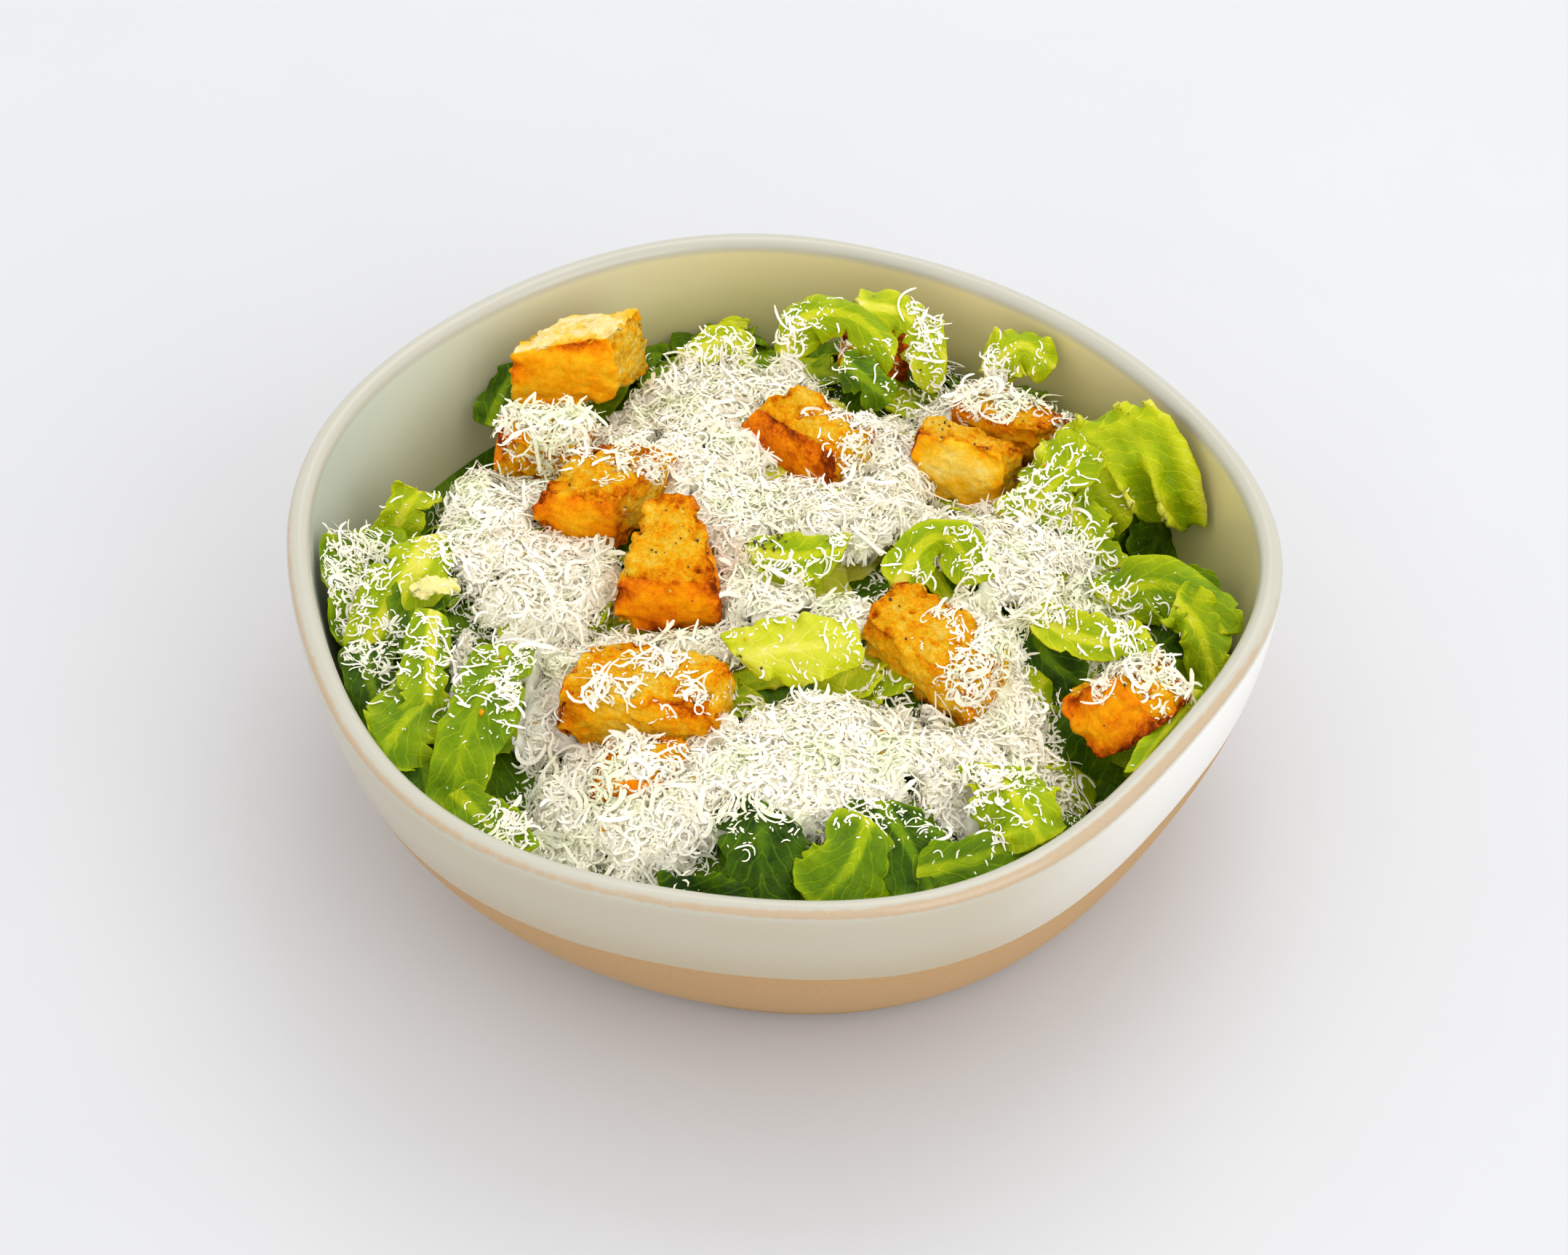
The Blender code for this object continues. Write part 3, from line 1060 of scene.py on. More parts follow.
@dataclass(frozen=True)
class LeafMesh:
    """How finely leaves are meshed, how thick they are and how their edges run, in millimetres."""

    rows: int = 60
    columns: int = 31
    blade: float = 0.40
    rib: float = 1.2
    blunt: float = 5.0
    narrowest: float = 0.3
    blister: float = 0.50
    blister_size: float = 4.6
    ruffle: float = 1.25
    darker: float = 0.12
    # Painted shade: how much darker a leaf is in the valleys of its folds
    fold_shade_tone: float = 0.045
    ragged: tuple[Range, ...] = ((0.13, 1.3), (0.05, 3.4), (0.015, 11.0))
    tears: int = 4
    tear_limits: tuple[Range, ...] = ((0.15, 0.9), (0.02, 0.05), (0.0, 0.40))
    frill_waves: float = 2.6

    def spline(self, points: Array) -> Array:
        """A smooth line through a few points.

        Args:
            points: the points, N by 3.

        Returns:
            One point for each row of the mesh.
        """
        padded = np.vstack([2 * points[0] - points[1], points, 2 * points[-1] - points[-2]])
        line = []
        for place in np.linspace(0, len(points) - 1 - 1e-6, self.rows):
            k = int(place)
            u = place - k
            a, b, c, d = padded[k : k + 4]
            square, cube = 2 * a - 5 * b + 4 * c - d, 3 * b - a - 3 * c + d
            line.append(0.5 * (2 * b + (c - a) * u + square * u**2 + cube * u**3))
        return np.array(line)

    def add(self, pile: MeshPile, leaf: Leaf) -> None:
        """Adds a leaf to the pile, as one closed shape.

        Args:
            pile: the mesh that it joins.
            leaf: the leaf.
        """
        rng = np.random.default_rng(leaf.seed + 11)
        slant = rng.uniform(-0.9, 0.9, 2)
        phase = rng.uniform(0, math.tau, 8)
        tears = [[rng.uniform(*limits) for limits in self.tear_limits] for _ in range(self.tears)]
        line = self.spline(np.array(leaf.rib, float))
        tangent = np.gradient(line, axis=0)
        tangent /= np.linalg.norm(tangent, axis=1)[:, None]
        facing = np.array(leaf.facing, float) / np.linalg.norm(leaf.facing)
        up = facing - tangent * (tangent @ facing)[:, None]
        up /= np.linalg.norm(up, axis=1)[:, None]
        side = np.cross(tangent, up)
        t = np.linspace(0, 1, self.rows)
        length = np.concatenate([[0], np.cumsum(np.linalg.norm(np.diff(line, axis=0), axis=1))])
        shape = np.maximum(self.narrowest, (1 - np.abs(2 * t - 1) ** self.blunt) ** (1 / self.blunt))
        s = np.sin(np.linspace(-math.pi / 2, math.pi / 2, self.columns))
        s = 0.5 * s + 0.5 * np.linspace(-1, 1, self.columns)
        points = np.zeros((self.rows, self.columns, 3))
        lateral = np.zeros((self.rows, self.columns))
        fold_shade = np.zeros((self.rows, self.columns))
        for k, share in enumerate(s):
            reach, hand, right = abs(share), math.copysign(1, share), int(share > 0)
            ragged = np.ones_like(t)
            for number, (deep, waves) in enumerate(self.ragged, 1):
                ragged = ragged + deep * np.sin(math.tau * t * waves + phase[2 * number + right]) * reach
            for place, spread, deep in tears[2 * right : 2 * right + 2]:
                ragged = ragged - deep * reach * np.clip(1 - np.abs(t - place) / spread, 0, 1)
            width = leaf.widths[right] * shape * ragged
            bend = math.radians(leaf.cup) * reach + 1e-6
            out = width * reach * math.sin(bend) / bend
            lift = width * reach * (1 - math.cos(bend)) / bend
            wave = np.sin(math.tau * leaf.waves * t + phase[right] + 1.2 * np.sin(math.tau * t))
            amount = self.ruffle * leaf.ruffle * reach**1.6 * (0.35 + 0.65 * np.sin(np.pi * t))
            frill = np.sin(math.tau * self.frill_waves * leaf.waves * t + phase[4 + right]) * reach**2
            lift = lift + amount * (wave + 0.35 * frill)
            sway = 0.5 * amount * np.cos(math.tau * leaf.waves * t + phase[right])
            skew = (slant[0] * (1 - t) ** 3 + slant[1] * t**3) * hand * out
            points[:, k] = line + side * (hand * out)[:, None] + up * lift[:, None]
            points[:, k] += tangent * (sway + skew)[:, None]
            lateral[:, k] = hand * out
            # Painted shade: deepest where the blade dips between its waves
            fold_shade[:, k] = -(wave + 0.5 * frill) * reach
        rib_edge = leaf.rib_width * (0.95 - 0.55 * t)[:, None]
        rib = smoothstep(np.abs(lateral) / rib_edge, 1.25, 0.55) * (1 - 0.5 * t)[:, None] * leaf.rib_tone
        flat = points.reshape(-1, 3)
        blister = noise_at(flat, self.blister_size, leaf.seed * 0.37 + 1)
        blister += 0.4 * noise_at(flat, self.blister_size * 0.45, leaf.seed + 2.3)
        raised = self.blister * leaf.crinkle * blister.reshape(lateral.shape) * (1 - 0.7 * rib)
        points += self.normals(points) * raised[:, :, None]
        under = points - self.normals(points) * (self.blade + self.rib * rib)[:, :, None]
        edge = np.abs(s)[None, :] ** 3 + np.clip(np.abs(2 * t - 1) * 5 - 4, 0, 1)[:, None]
        tone = leaf.tone + self.darker + leaf.edge * np.clip(edge, 0, 1)
        # Painted shade in the valleys of the folds
        tone = tone + self.fold_shade_tone * leaf.ruffle * fold_shade
        along = np.repeat(length[:, None], self.columns, 1)
        self.close(pile, points, under, tone=np.clip(tone, 0, 1), rib=rib, across=lateral, along=along)

    @staticmethod
    def normals(points: Array) -> Array:
        """Unit normals of a grid of points."""
        cross = np.cross(np.gradient(points, axis=1), np.gradient(points, axis=0))
        return cross / np.maximum(np.linalg.norm(cross, axis=2), 1e-9)[:, :, None]

    @staticmethod
    def close(pile: MeshPile, top: Array, under: Array, **values: Array) -> None:
        """Joins a leaf's two faces along their edges and adds them to the pile.

        Args:
            pile: the mesh that it joins.
            top, under: the two faces, each a grid of points in millimetres.
            values: one number for each point of a face, by attribute name.
        """
        rows, columns = top.shape[:2]
        count = rows * columns
        faces = grid_faces(rows, columns)
        faces += [tuple(count + i for i in reversed(face)) for face in faces]
        border = list(range(columns))
        border += [r * columns + columns - 1 for r in range(1, rows)]
        border += [(rows - 1) * columns + k for k in range(columns - 2, -1, -1)]
        border += [r * columns for r in range(rows - 2, 0, -1)]
        for first, second in zip(border, border[1:] + border[:1]):
            faces.append((second, first, count + first, count + second))
        points = np.concatenate([top.reshape(-1, 3), under.reshape(-1, 3)]) * MM
        pile.add(points, faces, **{name: np.tile(numbers.reshape(-1), 2) for name, numbers in values.items()})


# How far the heap sinks in front of each crouton, in millimetres
HOLLOWS: dict[str, float] = {
    "crouton_01": 4.0,
    "crouton_02": 2.0,
    "crouton_03": 3.5,
    "crouton_04": 3.0,
    "crouton_05": 3.5,
    "crouton_07": 2.5,
    "crouton_08": 5.0,
    "crouton_09": 1.5,
    "crouton_10": 3.5,
    "crouton_11": 7.0,
}

# The leaves that show, by where they lie in the bowl. After the rib, the widths and the facing come
# cup, ruffle, waves, tone, edge, rib width and rib tone, as far as they aren't the usual ones.
LEAVES: dict[str, tuple[Leaf, ...]] = {
    "leaves_left": (
        Leaf(((-88, -20, 54), (-90, -3, 60), (-90, 15, 59)), (9, 9), (0.5, -0.2, 1),
             10, 1.6, 2.5, 0.62, seed=1),
        Leaf(((-86, 17, 50), (-82, 23, 57), (-79, 28, 58)), (5, 5), (0.3, -0.6, 1),
             30, 1.0, 1.5, 0.42, seed=2),
        Leaf(((-74, 6, 66), (-77, -4, 66), (-82, -13, 63), (-88, -24, 58)), (7, 8), (0.1, -0.4, 1),
             -25, 0.8, 1.5, 0.42, -0.05, 3.2, 1.3, seed=3),
        Leaf(((-77, -12, 66), (-73, -11, 67), (-68, -10, 67)), (2.4, 2), (0, -0.6, 1),
             -30, 0.8, 2, 0.0, seed=4),
        Leaf(((-74, -6, 62), (-77, -14, 62), (-73, -24, 60)), (6, 6), (0, -0.7, 1),
             15, 0.8, 2, 0.78, seed=5),
        Leaf(((-88, -18, 60), (-85, -31, 59), (-80, -42, 54)), (7, 8), (0.2, -0.7, 1),
             -12, 0.8, 2, 0.80, seed=6),
        Leaf(((-72, -19, 68), (-72, -32, 67), (-72, -42, 65), (-74, -52, 60)), (4, 6), (0.4, -0.6, 1),
             -20, 0.8, 2, 0.55, -0.1, 1.8, 1.5, seed=7),
        Leaf(((-70, -38, 65), (-77, -49, 65), (-83, -60, 62)), (8, 8), (-0.1, -0.7, 1),
             -20, 1.4, 2, 0.60, -0.2, seed=8),
        Leaf(((-76, -44, 62), (-72, -56, 60), (-70, -66, 56)), (7, 7), (0, -0.7, 1),
             10, 1, 2, 0.78, seed=9),
        Leaf(((-56, -28, 67), (-60, -41, 68), (-64, -54, 65), (-66, -66, 58)), (8, 6), (-0.2, -0.6, 1),
             14, 1.2, 2, 0.60, -0.1, 1.4, 0.6, seed=10),
        Leaf(((-66, -62, 60), (-59, -72, 62), (-51, -80, 61)), (5, 5), (0, -0.6, 1),
             10, 0.8, 2, 0.62, seed=11),
        Leaf(((-80, -52, 50), (-68, -60, 51), (-58, -70, 52)), (8, 9), (-0.1, -0.5, 1),
             10, 0.8, 2, 0.92, seed=12),
    ),
    "leaves_front": (
        Leaf(((-4, -73, 69), (-4, -84, 67), (-4, -93, 60)), (9, 9), (-0.1, -1, 0.9),
             -28, 0.6, 1.5, 0.84, -0.06, 1.4, 0.5, seed=21),
        Leaf(((17, -78, 69), (13, -88, 66), (6, -94, 62)), (9, 8), (0.1, -0.9, 1),
             -20, 0.9, 2, 0.66, -0.2, seed=22),
        Leaf(((19, -72, 68), (25, -83, 66), (29, -91, 62)), (7, 8), (0.2, -0.8, 1),
             -10, 0.9, 2, 0.80, seed=23),
        Leaf(((26, -88, 64), (37, -85, 65), (49, -78, 64)), (5, 6), (0.2, -0.8, 1),
             10, 0.8, 2, 0.68, seed=24),
        Leaf(((41, -62, 68), (46, -73, 69), (51, -82, 66)), (8, 8), (0.2, -0.6, 1),
             -24, 1.8, 2.5, 0.46, -0.1, seed=25),
        Leaf(((-24, -90, 60), (-16, -92, 61), (-6, -93, 60)), (5, 5), (0, -0.8, 1),
             10, 1, 2, 0.90, seed=26),
    ),
    "leaves_right": (
        Leaf(((50, 16, 58), (58, 22, 65), (66, 30, 70)), (6, 7), (-0.5, -0.8, 0.8),
             26, 1.0, 1.5, 0.46, -0.12, seed=31),
        Leaf(((52, 22, 63), (62, 30, 69), (73, 35, 72), (84, 36, 72)), (5, 24), (0.1, -0.6, 1),
             -46, 3.6, 4.4, 0.38, -0.12, 1.2, 0.4, crinkle=3.6, seed=47),
        Leaf(((68, -6, 58), (78, -6, 63), (87, -13, 65), (92, -20, 62)), (6, 9), (-0.2, -0.6, 1),
             -20, 1.8, 2.5, 0.56, -0.14, seed=35),
        Leaf(((82, -12, 64), (87, -20, 62), (90, -32, 54)), (6, 5), (-0.5, -0.6, 1),
             -20, 1.8, 2.5, 0.50, -0.12, seed=36),
        Leaf(((52, -15, 65), (59, -25, 67), (70, -27, 66), (76, -22, 64)), (5, 4), (0, -0.7, 1),
             24, 0.8, 2, 0.42, -0.15, seed=37),
        Leaf(((52, -18, 63), (55, -24, 59), (62, -28, 55)), (6, 8), (0, -0.8, 0.8),
             -10, 0.8, 2, 0.84, seed=38),
        Leaf(((84, -37, 63), (78, -50, 65), (71, -61, 64)), (3, 4), (-0.2, -0.5, 1),
             -20, 0.6, 2, 0.46, seed=39),
        Leaf(((62, 18, 62), (66, 14, 58), (71, 9, 53)), (5, 6), (0.2, -0.8, 1),
             10, 1, 2, 0.50, seed=40),
        Leaf(((84, 10, 48), (88, 3, 52), (90, -4, 52)), (5, 6), (-0.4, -0.5, 1),
             10, 1, 2, 0.66, seed=41),
    ),
    "leaves_back": (
        Leaf(((0, 66, 64), (5, 71, 71), (16, 71, 71), (25, 62, 68)), (5, 7), (0, -0.7, 1),
             -60, 0.8, 1.5, 0.46, -0.1, seed=51),
        Leaf(((17, 75, 71), (28, 74, 69), (37, 67, 62)), (6, 8), (0.2, -0.4, 1),
             -40, 1.4, 2.5, 0.36, -0.12, seed=52),
        Leaf(((13, 62, 66), (18, 55, 67), (24, 53, 62)), (5, 5), (0, -0.8, 1),
             -45, 0.8, 1.5, 0.72, seed=53),
        Leaf(((45, 61, 62), (53, 65, 68), (61, 63, 63)), (6, 7), (0.1, -0.6, 1),
             -50, 1.8, 2.5, 0.40, -0.14, seed=54),
        Leaf(((-21, 71, 59), (-14, 75, 61), (-7, 72, 60)), (4, 5), (0, -0.7, 1),
             -30, 1, 2, 0.34, seed=55),
        Leaf(((-16, 85, 54), (-12, 86, 56), (-8, 86, 56)), (2, 2), (0, -0.5, 1),
             -20, 0.3, 1, 0.38, seed=56),
        Leaf(((-66, 58, 50), (-63, 66, 54), (-58, 74, 56)), (5, 6), (-0.2, -0.6, 1),
             -20, 0.8, 2, 0.80, seed=57),
    ),
    "leaves_middle": (
        Leaf(((-7, -4, 70), (3, -6, 71), (13, -3, 70)), (5, 6), (0, -0.6, 1),
             -30, 1.0, 2, 0.44, -0.1, seed=61),
        Leaf(((24, -12, 68), (29, -5, 73), (35, -3, 73), (41, -11, 68)), (5, 5), (0, -1, 0.6),
             -10, 0.6, 1.5, 0.46, -0.1, seed=62),
        Leaf(((-10, -34, 70), (2, -34, 72), (16, -31, 71)), (7, 7), (0, -0.6, 1),
             -24, 1.3, 2.5, 0.18, 0.06, 1.6, 0.5, crinkle=1.6, seed=63),
    ),
}


@dataclass
class Lettuce:
    """The heap of leaves: a core whose dark tone is painted shade between the leaves, filler leaves all over
    it, and the leaves that show.
    """

    field: HeightField
    bowl: Bowl
    finish: LeafFinish = field(default_factory=LeafFinish)
    core_drop: float = 0.0045
    core_gap: float = 0.0012
    core_floor: float = 0.0006
    core_heel: float = 0.006
    core_foot: float = 0.95
    core_walls: Range = (0.026, 0.038)
    core_brim: float = 0.046
    core_lumps: Range = (0.0016, 0.006)
    # Painted shade: the core's dark tone stands for the shade between the leaves
    core_shade_tone: float = 0.86
    core_sectors: int = 128
    core_rings: int = 34
    fillers: int = 150
    edge_fillers: int = 34
    filler_brim: float = 0.05
    filler_gap: float = 0.009
    filler_sink: Range = (0.0008, 0.0035)
    filler_half: Range = (7, 12)
    filler_droop: Range = (0.5, 2.5)
    filler_width: Range = (4, 8)
    filler_cup: Range = (-25, 20)
    filler_ruffle: Range = (0.4, 1.4)
    filler_waves: Range = (1.5, 3)
    filler_lean: Range = (-0.5, 0.5)
    filler_tone: float = 0.26
    filler_greener: float = 0.42
    filler_shades: Range = (-0.12, 0.16)
    filler_mesh: LeafMesh = field(default_factory=lambda: LeafMesh(rows=18, columns=11))
    hero_mesh: LeafMesh = field(default_factory=LeafMesh)

    def build_core(self, material: Material) -> Object:
        """The body of the heap, seen only between leaves, where its dark tone is painted shade.

        Args:
            material: the leaves' material.

        Returns:
            The piece.
        """
        angle = np.linspace(0, math.tau, self.core_sectors, endpoint=False)
        middle = np.array(self.bowl.middle)
        floor = self.bowl.floor_height + self.core_floor
        rings = []
        for height in (floor, floor + self.core_heel, *self.core_walls):
            reach = self.bowl.inner_radius(angle, height) - self.core_gap
            if height == floor:
                reach = np.minimum(self.core_foot * reach, self.bowl.foot_radius)
            rings.append(middle + ring(angle, reach, height))
        brim = self.bowl.inner_radius(angle, self.core_brim) - self.core_gap
        deep, wide = self.core_lumps
        for share in np.linspace(1, 0.02, self.core_rings):
            place = middle + ring(angle, share * brim, 0.0)
            place[:, 2] = self.field.at(place[:, 0], place[:, 1]) - self.core_drop
            place[:, 2] += deep * noise_at(place, wide, 2.0)
            rings.append(place)
        points = np.concatenate(rings)
        tone = self.core_shade_tone + 0.1 * noise_at(points, 0.009, 5.0)
        values = {"tone": tone, "rib": 0 * tone, "across": points[:, 0] / MM, "along": points[:, 1] / MM}
        pile = MeshPile()
        pile.add(points, closed_rings(len(rings), self.core_sectors), **values)
        return pile.build("lettuce_core", material)

    def random_leaf(self, rng: random.Random, number: int) -> Leaf:
        """One filler leaf, greener and steeper towards the wall, which the last ones follow all round.

        Args:
            rng: the fillers' random numbers.
            number: which filler it is.

        Returns:
            The leaf.
        """
        angle = rng.uniform(0, math.tau)
        share = math.sqrt(rng.uniform(0.0, 0.93))
        if number >= self.fillers:
            angle = math.tau * (number - self.fillers + rng.uniform(-0.3, 0.3)) / self.edge_fillers
            share = rng.uniform(1.0, 1.06)
        brim = float(self.bowl.inner_radius(np.array([angle]), self.filler_brim)[0])
        reach = share * (brim - self.filler_gap)
        x = self.bowl.middle.x + reach * math.cos(angle)
        y = self.bowl.middle.y + reach * math.sin(angle)
        normal = self.field.normal(x, y)
        heading = rng.uniform(0, math.tau)
        ahead = Vector((math.cos(heading), math.sin(heading), 0))
        ahead = (ahead - normal * ahead.dot(normal)).normalized()
        lean = Vector((rng.uniform(*self.filler_lean), rng.uniform(*self.filler_lean), 0))
        lean = lean * (1 - 0.6 * share)
        facing = (normal + lean).normalized()
        ahead = (ahead - facing * ahead.dot(facing)).normalized()
        height = float(self.field.at(np.array([x]), np.array([y]))[0]) - rng.uniform(*self.filler_sink)
        middle = Vector((x, y, height)) / MM
        half = rng.uniform(*self.filler_half) * (1 - 0.25 * share)
        droop = facing * rng.uniform(*self.filler_droop)
        rib = (middle - ahead * half - droop, middle, middle + ahead * half - droop)
        return Leaf(
            tuple(tuple(point) for point in rib),
            tone=self.filler_tone + self.filler_greener * share**3 + rng.uniform(*self.filler_shades),
            widths=(rng.uniform(*self.filler_width), rng.uniform(*self.filler_width)),
            facing=tuple(facing),
            cup=rng.uniform(*self.filler_cup),
            ruffle=rng.uniform(*self.filler_ruffle),
            waves=rng.uniform(*self.filler_waves),
            edge=-0.1,
            rib_width=1.4,
            rib_tone=rng.uniform(0.2, 1),
            seed=200 + number,
        )

    def build(self) -> list[Object]:
        """Builds all the lettuce.

        Returns:
            The pieces, the core first.
        """
        material = self.finish.material()
        core = self.build_core(material)
        report(core, "lettuce_leaf", "lettuce")
        pieces = [core]
        rng = random.Random(71)
        pile = MeshPile()
        for number in range(self.fillers + self.edge_fillers):
            self.filler_mesh.add(pile, self.random_leaf(rng, number))
        piles = {"leaves_under": pile}
        for name, leaves in LEAVES.items():
            piles[name] = MeshPile()
            for leaf in leaves:
                self.hero_mesh.add(piles[name], leaf)
        for name, pile in piles.items():
            pieces.append(self.bowl.hold(pile).build(name, material))
            report(pieces[-1], "lettuce_leaf")
        return pieces


# ------------ croutons


@dataclass(frozen=True)
class Crust:
    """A side of a crouton, browned on the pan or, for crouton_08's front, paler than its crumb as painted
    light: where it faces, how brown it is and how smooth it is.
    """

    facing: Point
    browning: float
    smooth: float = 1.0


@dataclass(frozen=True)
class Crouton:
    """How one crouton is browned and dusted.

    crumb is the browning of the torn sides, dusting is the share that cheese covers, and lean moves that
    cover towards one side.
    """

    node: str
    crumb: float
    crusts: tuple[Crust, ...]
    dusting: float = 0.0
    lean: Point = (0.0, 0.0, 0.0)


FRONT: Point = (0.0, -1.0, 0.0)
LEFT: Point = (-1.0, 0.0, 0.0)
RIGHT: Point = (1.0, 0.0, 0.0)
TOP: Point = (0.0, 0.0, 1.0)

CROUTONS: tuple[Crouton, ...] = (
    Crouton("crouton_01", 0.26, (Crust(FRONT, 0.52), Crust(TOP, 0.10, 0.5), Crust(RIGHT, 0.34, 0.0))),
    Crouton("crouton_02", 0.48, (Crust(LEFT, 0.70),), 0.74, (0.6, 0.2, 0.3)),
    Crouton("crouton_03", 0.46, (Crust((-0.5, -0.9, 0), 0.56),), 0.16, (0.2, 0.4, 0.7)),
    Crouton("crouton_04", 0.46, (Crust(FRONT, 0.64), Crust((1, 0.2, 0), 0.66, 0.3))),
    Crouton("crouton_05", 0.40, (Crust(LEFT, 0.76, 0.3), Crust(FRONT, 0.44, 0.5)), 0.24, (0.0, 0.1, 0.4)),
    Crouton("crouton_06", 0.50, (Crust(FRONT, 0.62),), 0.54, (-0.2, 0.0, 0.3)),
    Crouton("crouton_07", 0.46, (Crust((-0.9, -0.4, 0), 0.78),), 0.26, (0.6, -0.1, 0.1)),
    # Painted light: the front side of crouton_08 is paler than its crumb so that it looks lit
    Crouton("crouton_08", 0.42, (Crust((-0.95, -0.3, 0), 0.80, 0.2), Crust(FRONT, 0.30, 0.9)), 0.02),
    Crouton("crouton_09", 0.48, (Crust(FRONT, 0.56, 0.5),), 0.44, (0.0, 0.7, 0.4)),
    Crouton("crouton_10", 0.44, (Crust((-0.7, -0.7, 0), 0.46, 0.4),), 0.28, (0.6, -0.2, 0.3)),
    Crouton(
        "crouton_11",
        0.50,
        (Crust((-0.8, -0.6, 0), 0.64), Crust((0.8, -0.5, 0), 0.84, 0.4)),
        0.26,
        (0.2, 0.9, 0.7),
    ),
    Crouton("crouton_12", 0.62, (Crust(FRONT, 0.84),), 0.3),
)


@dataclass
class CroutonBaker:
    """Turns each plain bread solid into a rough, pitted, browned cube.

    lumps, crumble and grains are each a depth and a size, dusting_patches is an amount and a size, and
    lengths are in metres.
    """

    bowl: Bowl
    finish: BreadFinish = field(default_factory=BreadFinish)
    levels: int = 4
    soften: int = 5
    growth: float = 0.0013
    spread: Point = (1.11, 1.04, 1.0)
    lumps: Range = (0.0009, 0.0065)
    crumble: Range = (0.00060, 0.0018)
    grains: Range = (0.00042, 0.0010)
    pit_depth: float = 0.0013
    pit_size: float = 0.0030
    chip: float = 0.0018
    crust_band: Range = (0.60, 0.80)
    brown_edge: float = 0.37
    pale_grain: float = 0.20
    brown_lump: float = 0.14
    dusting_patches: Range = (0.55, 0.0055)
    dusting_band: Range = (0.30, 0.75)
    dusted_slope: Range = (-0.35, 0.45)

    def edge_weights(self, edit: bmesh.types.BMesh) -> list[float]:
        """How much each point of a solid lies on one of its edges.

        Args:
            edit: the solid.

        Returns:
            A share from 0 to 1 for each point.
        """
        weights = []
        for vert in edit.verts:
            normals = [face.normal for face in vert.link_faces]
            widest = max(a.angle(b) for a in normals for b in normals)
            weights.append(float(smoothstep(math.degrees(widest), 35, 75)))
        return weights

    def bake(self, crouton: Crouton, material: Material) -> Object:
        """Makes one crouton.

        Args:
            crouton: its browning.
            material: the bread's material.

        Returns:
            The piece, in place of the solid.
        """
        edit = solid_copy(crouton.node)
        low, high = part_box(crouton.node)
        bmesh.ops.translate(edit, verts=edit.verts, vec=-(low + high) / 2)
        bmesh.ops.scale(edit, verts=edit.verts, vec=self.spread)
        bmesh.ops.translate(edit, verts=edit.verts, vec=(low + high) / 2)
        edit.normal_update()
        weights = self.edge_weights(edit)
        mesh = bpy.data.meshes.new(crouton.node.replace("crouton", "bread"))
        edit.to_mesh(mesh)
        edit.free()
        store(mesh, edge=weights)
        obj = new_object(mesh.name, mesh)
        modifier = obj.modifiers.new("finer", "SUBSURF")
        modifier.subdivision_type = "SIMPLE"
        modifier.levels = modifier.render_levels = self.levels
        smooth = obj.modifiers.new("soften", "SMOOTH")
        smooth.factor, smooth.iterations = 0.5, self.soften
        fine = freeze(obj)
        bpy.data.meshes.remove(mesh)
        self.roughen(fine, crouton)
        fine.materials.clear()
        fine.materials.append(material)
        fine.shade_smooth()
        return obj

    def roughen(self, mesh: Mesh, crouton: Crouton) -> None:
        """Moves the surface in by lumps, grains, pits and chipped edges, and stores its browning.

        Args:
            mesh: the crouton's fine mesh.
            crouton: how it is browned and dusted.
        """
        place = read(mesh.vertices, "co", 3)
        normal = read(mesh.vertices, "normal", 3)
        edge = read(mesh.attributes["edge"].data, "value")
        seed = float(crouton.node[-2:]) * 1.7
        crust = np.zeros(len(edge))
        toast = np.full(len(edge), crouton.crumb)
        wander = 0.12 * noise_at(place, 0.004, seed + 12)
        for side in crouton.crusts:
            towards = normal @ (np.array(side.facing) / np.linalg.norm(side.facing)) + wander
            share = smoothstep(towards, *self.crust_band)
            crust = np.maximum(crust * (1 - share), side.smooth * share)
            toast = toast * (1 - share) + side.browning * share
        lumps = noise_at(place, self.lumps[1], seed)
        crumble = noise_at(place, self.crumble[1], seed + 3)
        grains = noise_at(place, self.grains[1], seed + 5)
        shift = Vector((seed, 0, 0))
        near = np.array([noise.voronoi(Vector(p) / self.pit_size + shift)[0][0] for p in place])
        open_cells = smoothstep(noise_at(place, self.pit_size * 1.6, seed + 6), -0.15, 0.2)
        pit = smoothstep(near, 0.48, 0.14) * open_cells * (1 - 0.8 * crust)
        ragged = edge**1.6 * smoothstep(noise_at(place, 0.0034, seed + 9), -0.3, 0.5)
        inward = self.lumps[0] * (0.7 + lumps) * (1 - 0.3 * crust)
        inward += self.crumble[0] * (0.6 + crumble) * (1 - 0.55 * crust)
        inward += self.grains[0] * (0.6 + grains) * (1 - 0.75 * crust)
        inward += self.pit_depth * pit + self.chip * ragged
        place -= normal * (inward - self.growth)[:, None]
        browner = smoothstep(noise_at(place, 0.0075, seed + 18), -0.35, 0.35)
        toast += (
            self.brown_edge * edge**2 * browner
            - self.pale_grain * crumble * (1 - 0.6 * crust)
            + self.brown_lump * lumps
        )
        place = self.bowl.contain(place)
        mesh.vertices.foreach_set("co", place.ravel())
        away = place - place.mean(0)
        dusting = crouton.dusting + (away / np.abs(away).max()) @ np.array(crouton.lean)
        amount, size = self.dusting_patches
        dusting += amount * noise_at(place, size, seed + 15)
        cover = smoothstep(dusting, *self.dusting_band) * smoothstep(normal[:, 2], *self.dusted_slope)
        store(mesh, toast=np.clip(toast, 0, 1), pit=pit, crust=crust, cover=cover * (crouton.dusting > 0))
        mesh.update()

    def build(self) -> list[Object]:
        """Bakes every crouton.

        Returns:
            The pieces, in the croutons' order.
        """
        material = self.finish.material()
        pieces = []
        for crouton in CROUTONS:
            piece = self.bake(crouton, material)
            report(piece, "toasted_bread", crouton.node)
            pieces.append(piece)
        return pieces


# ------------ cheese


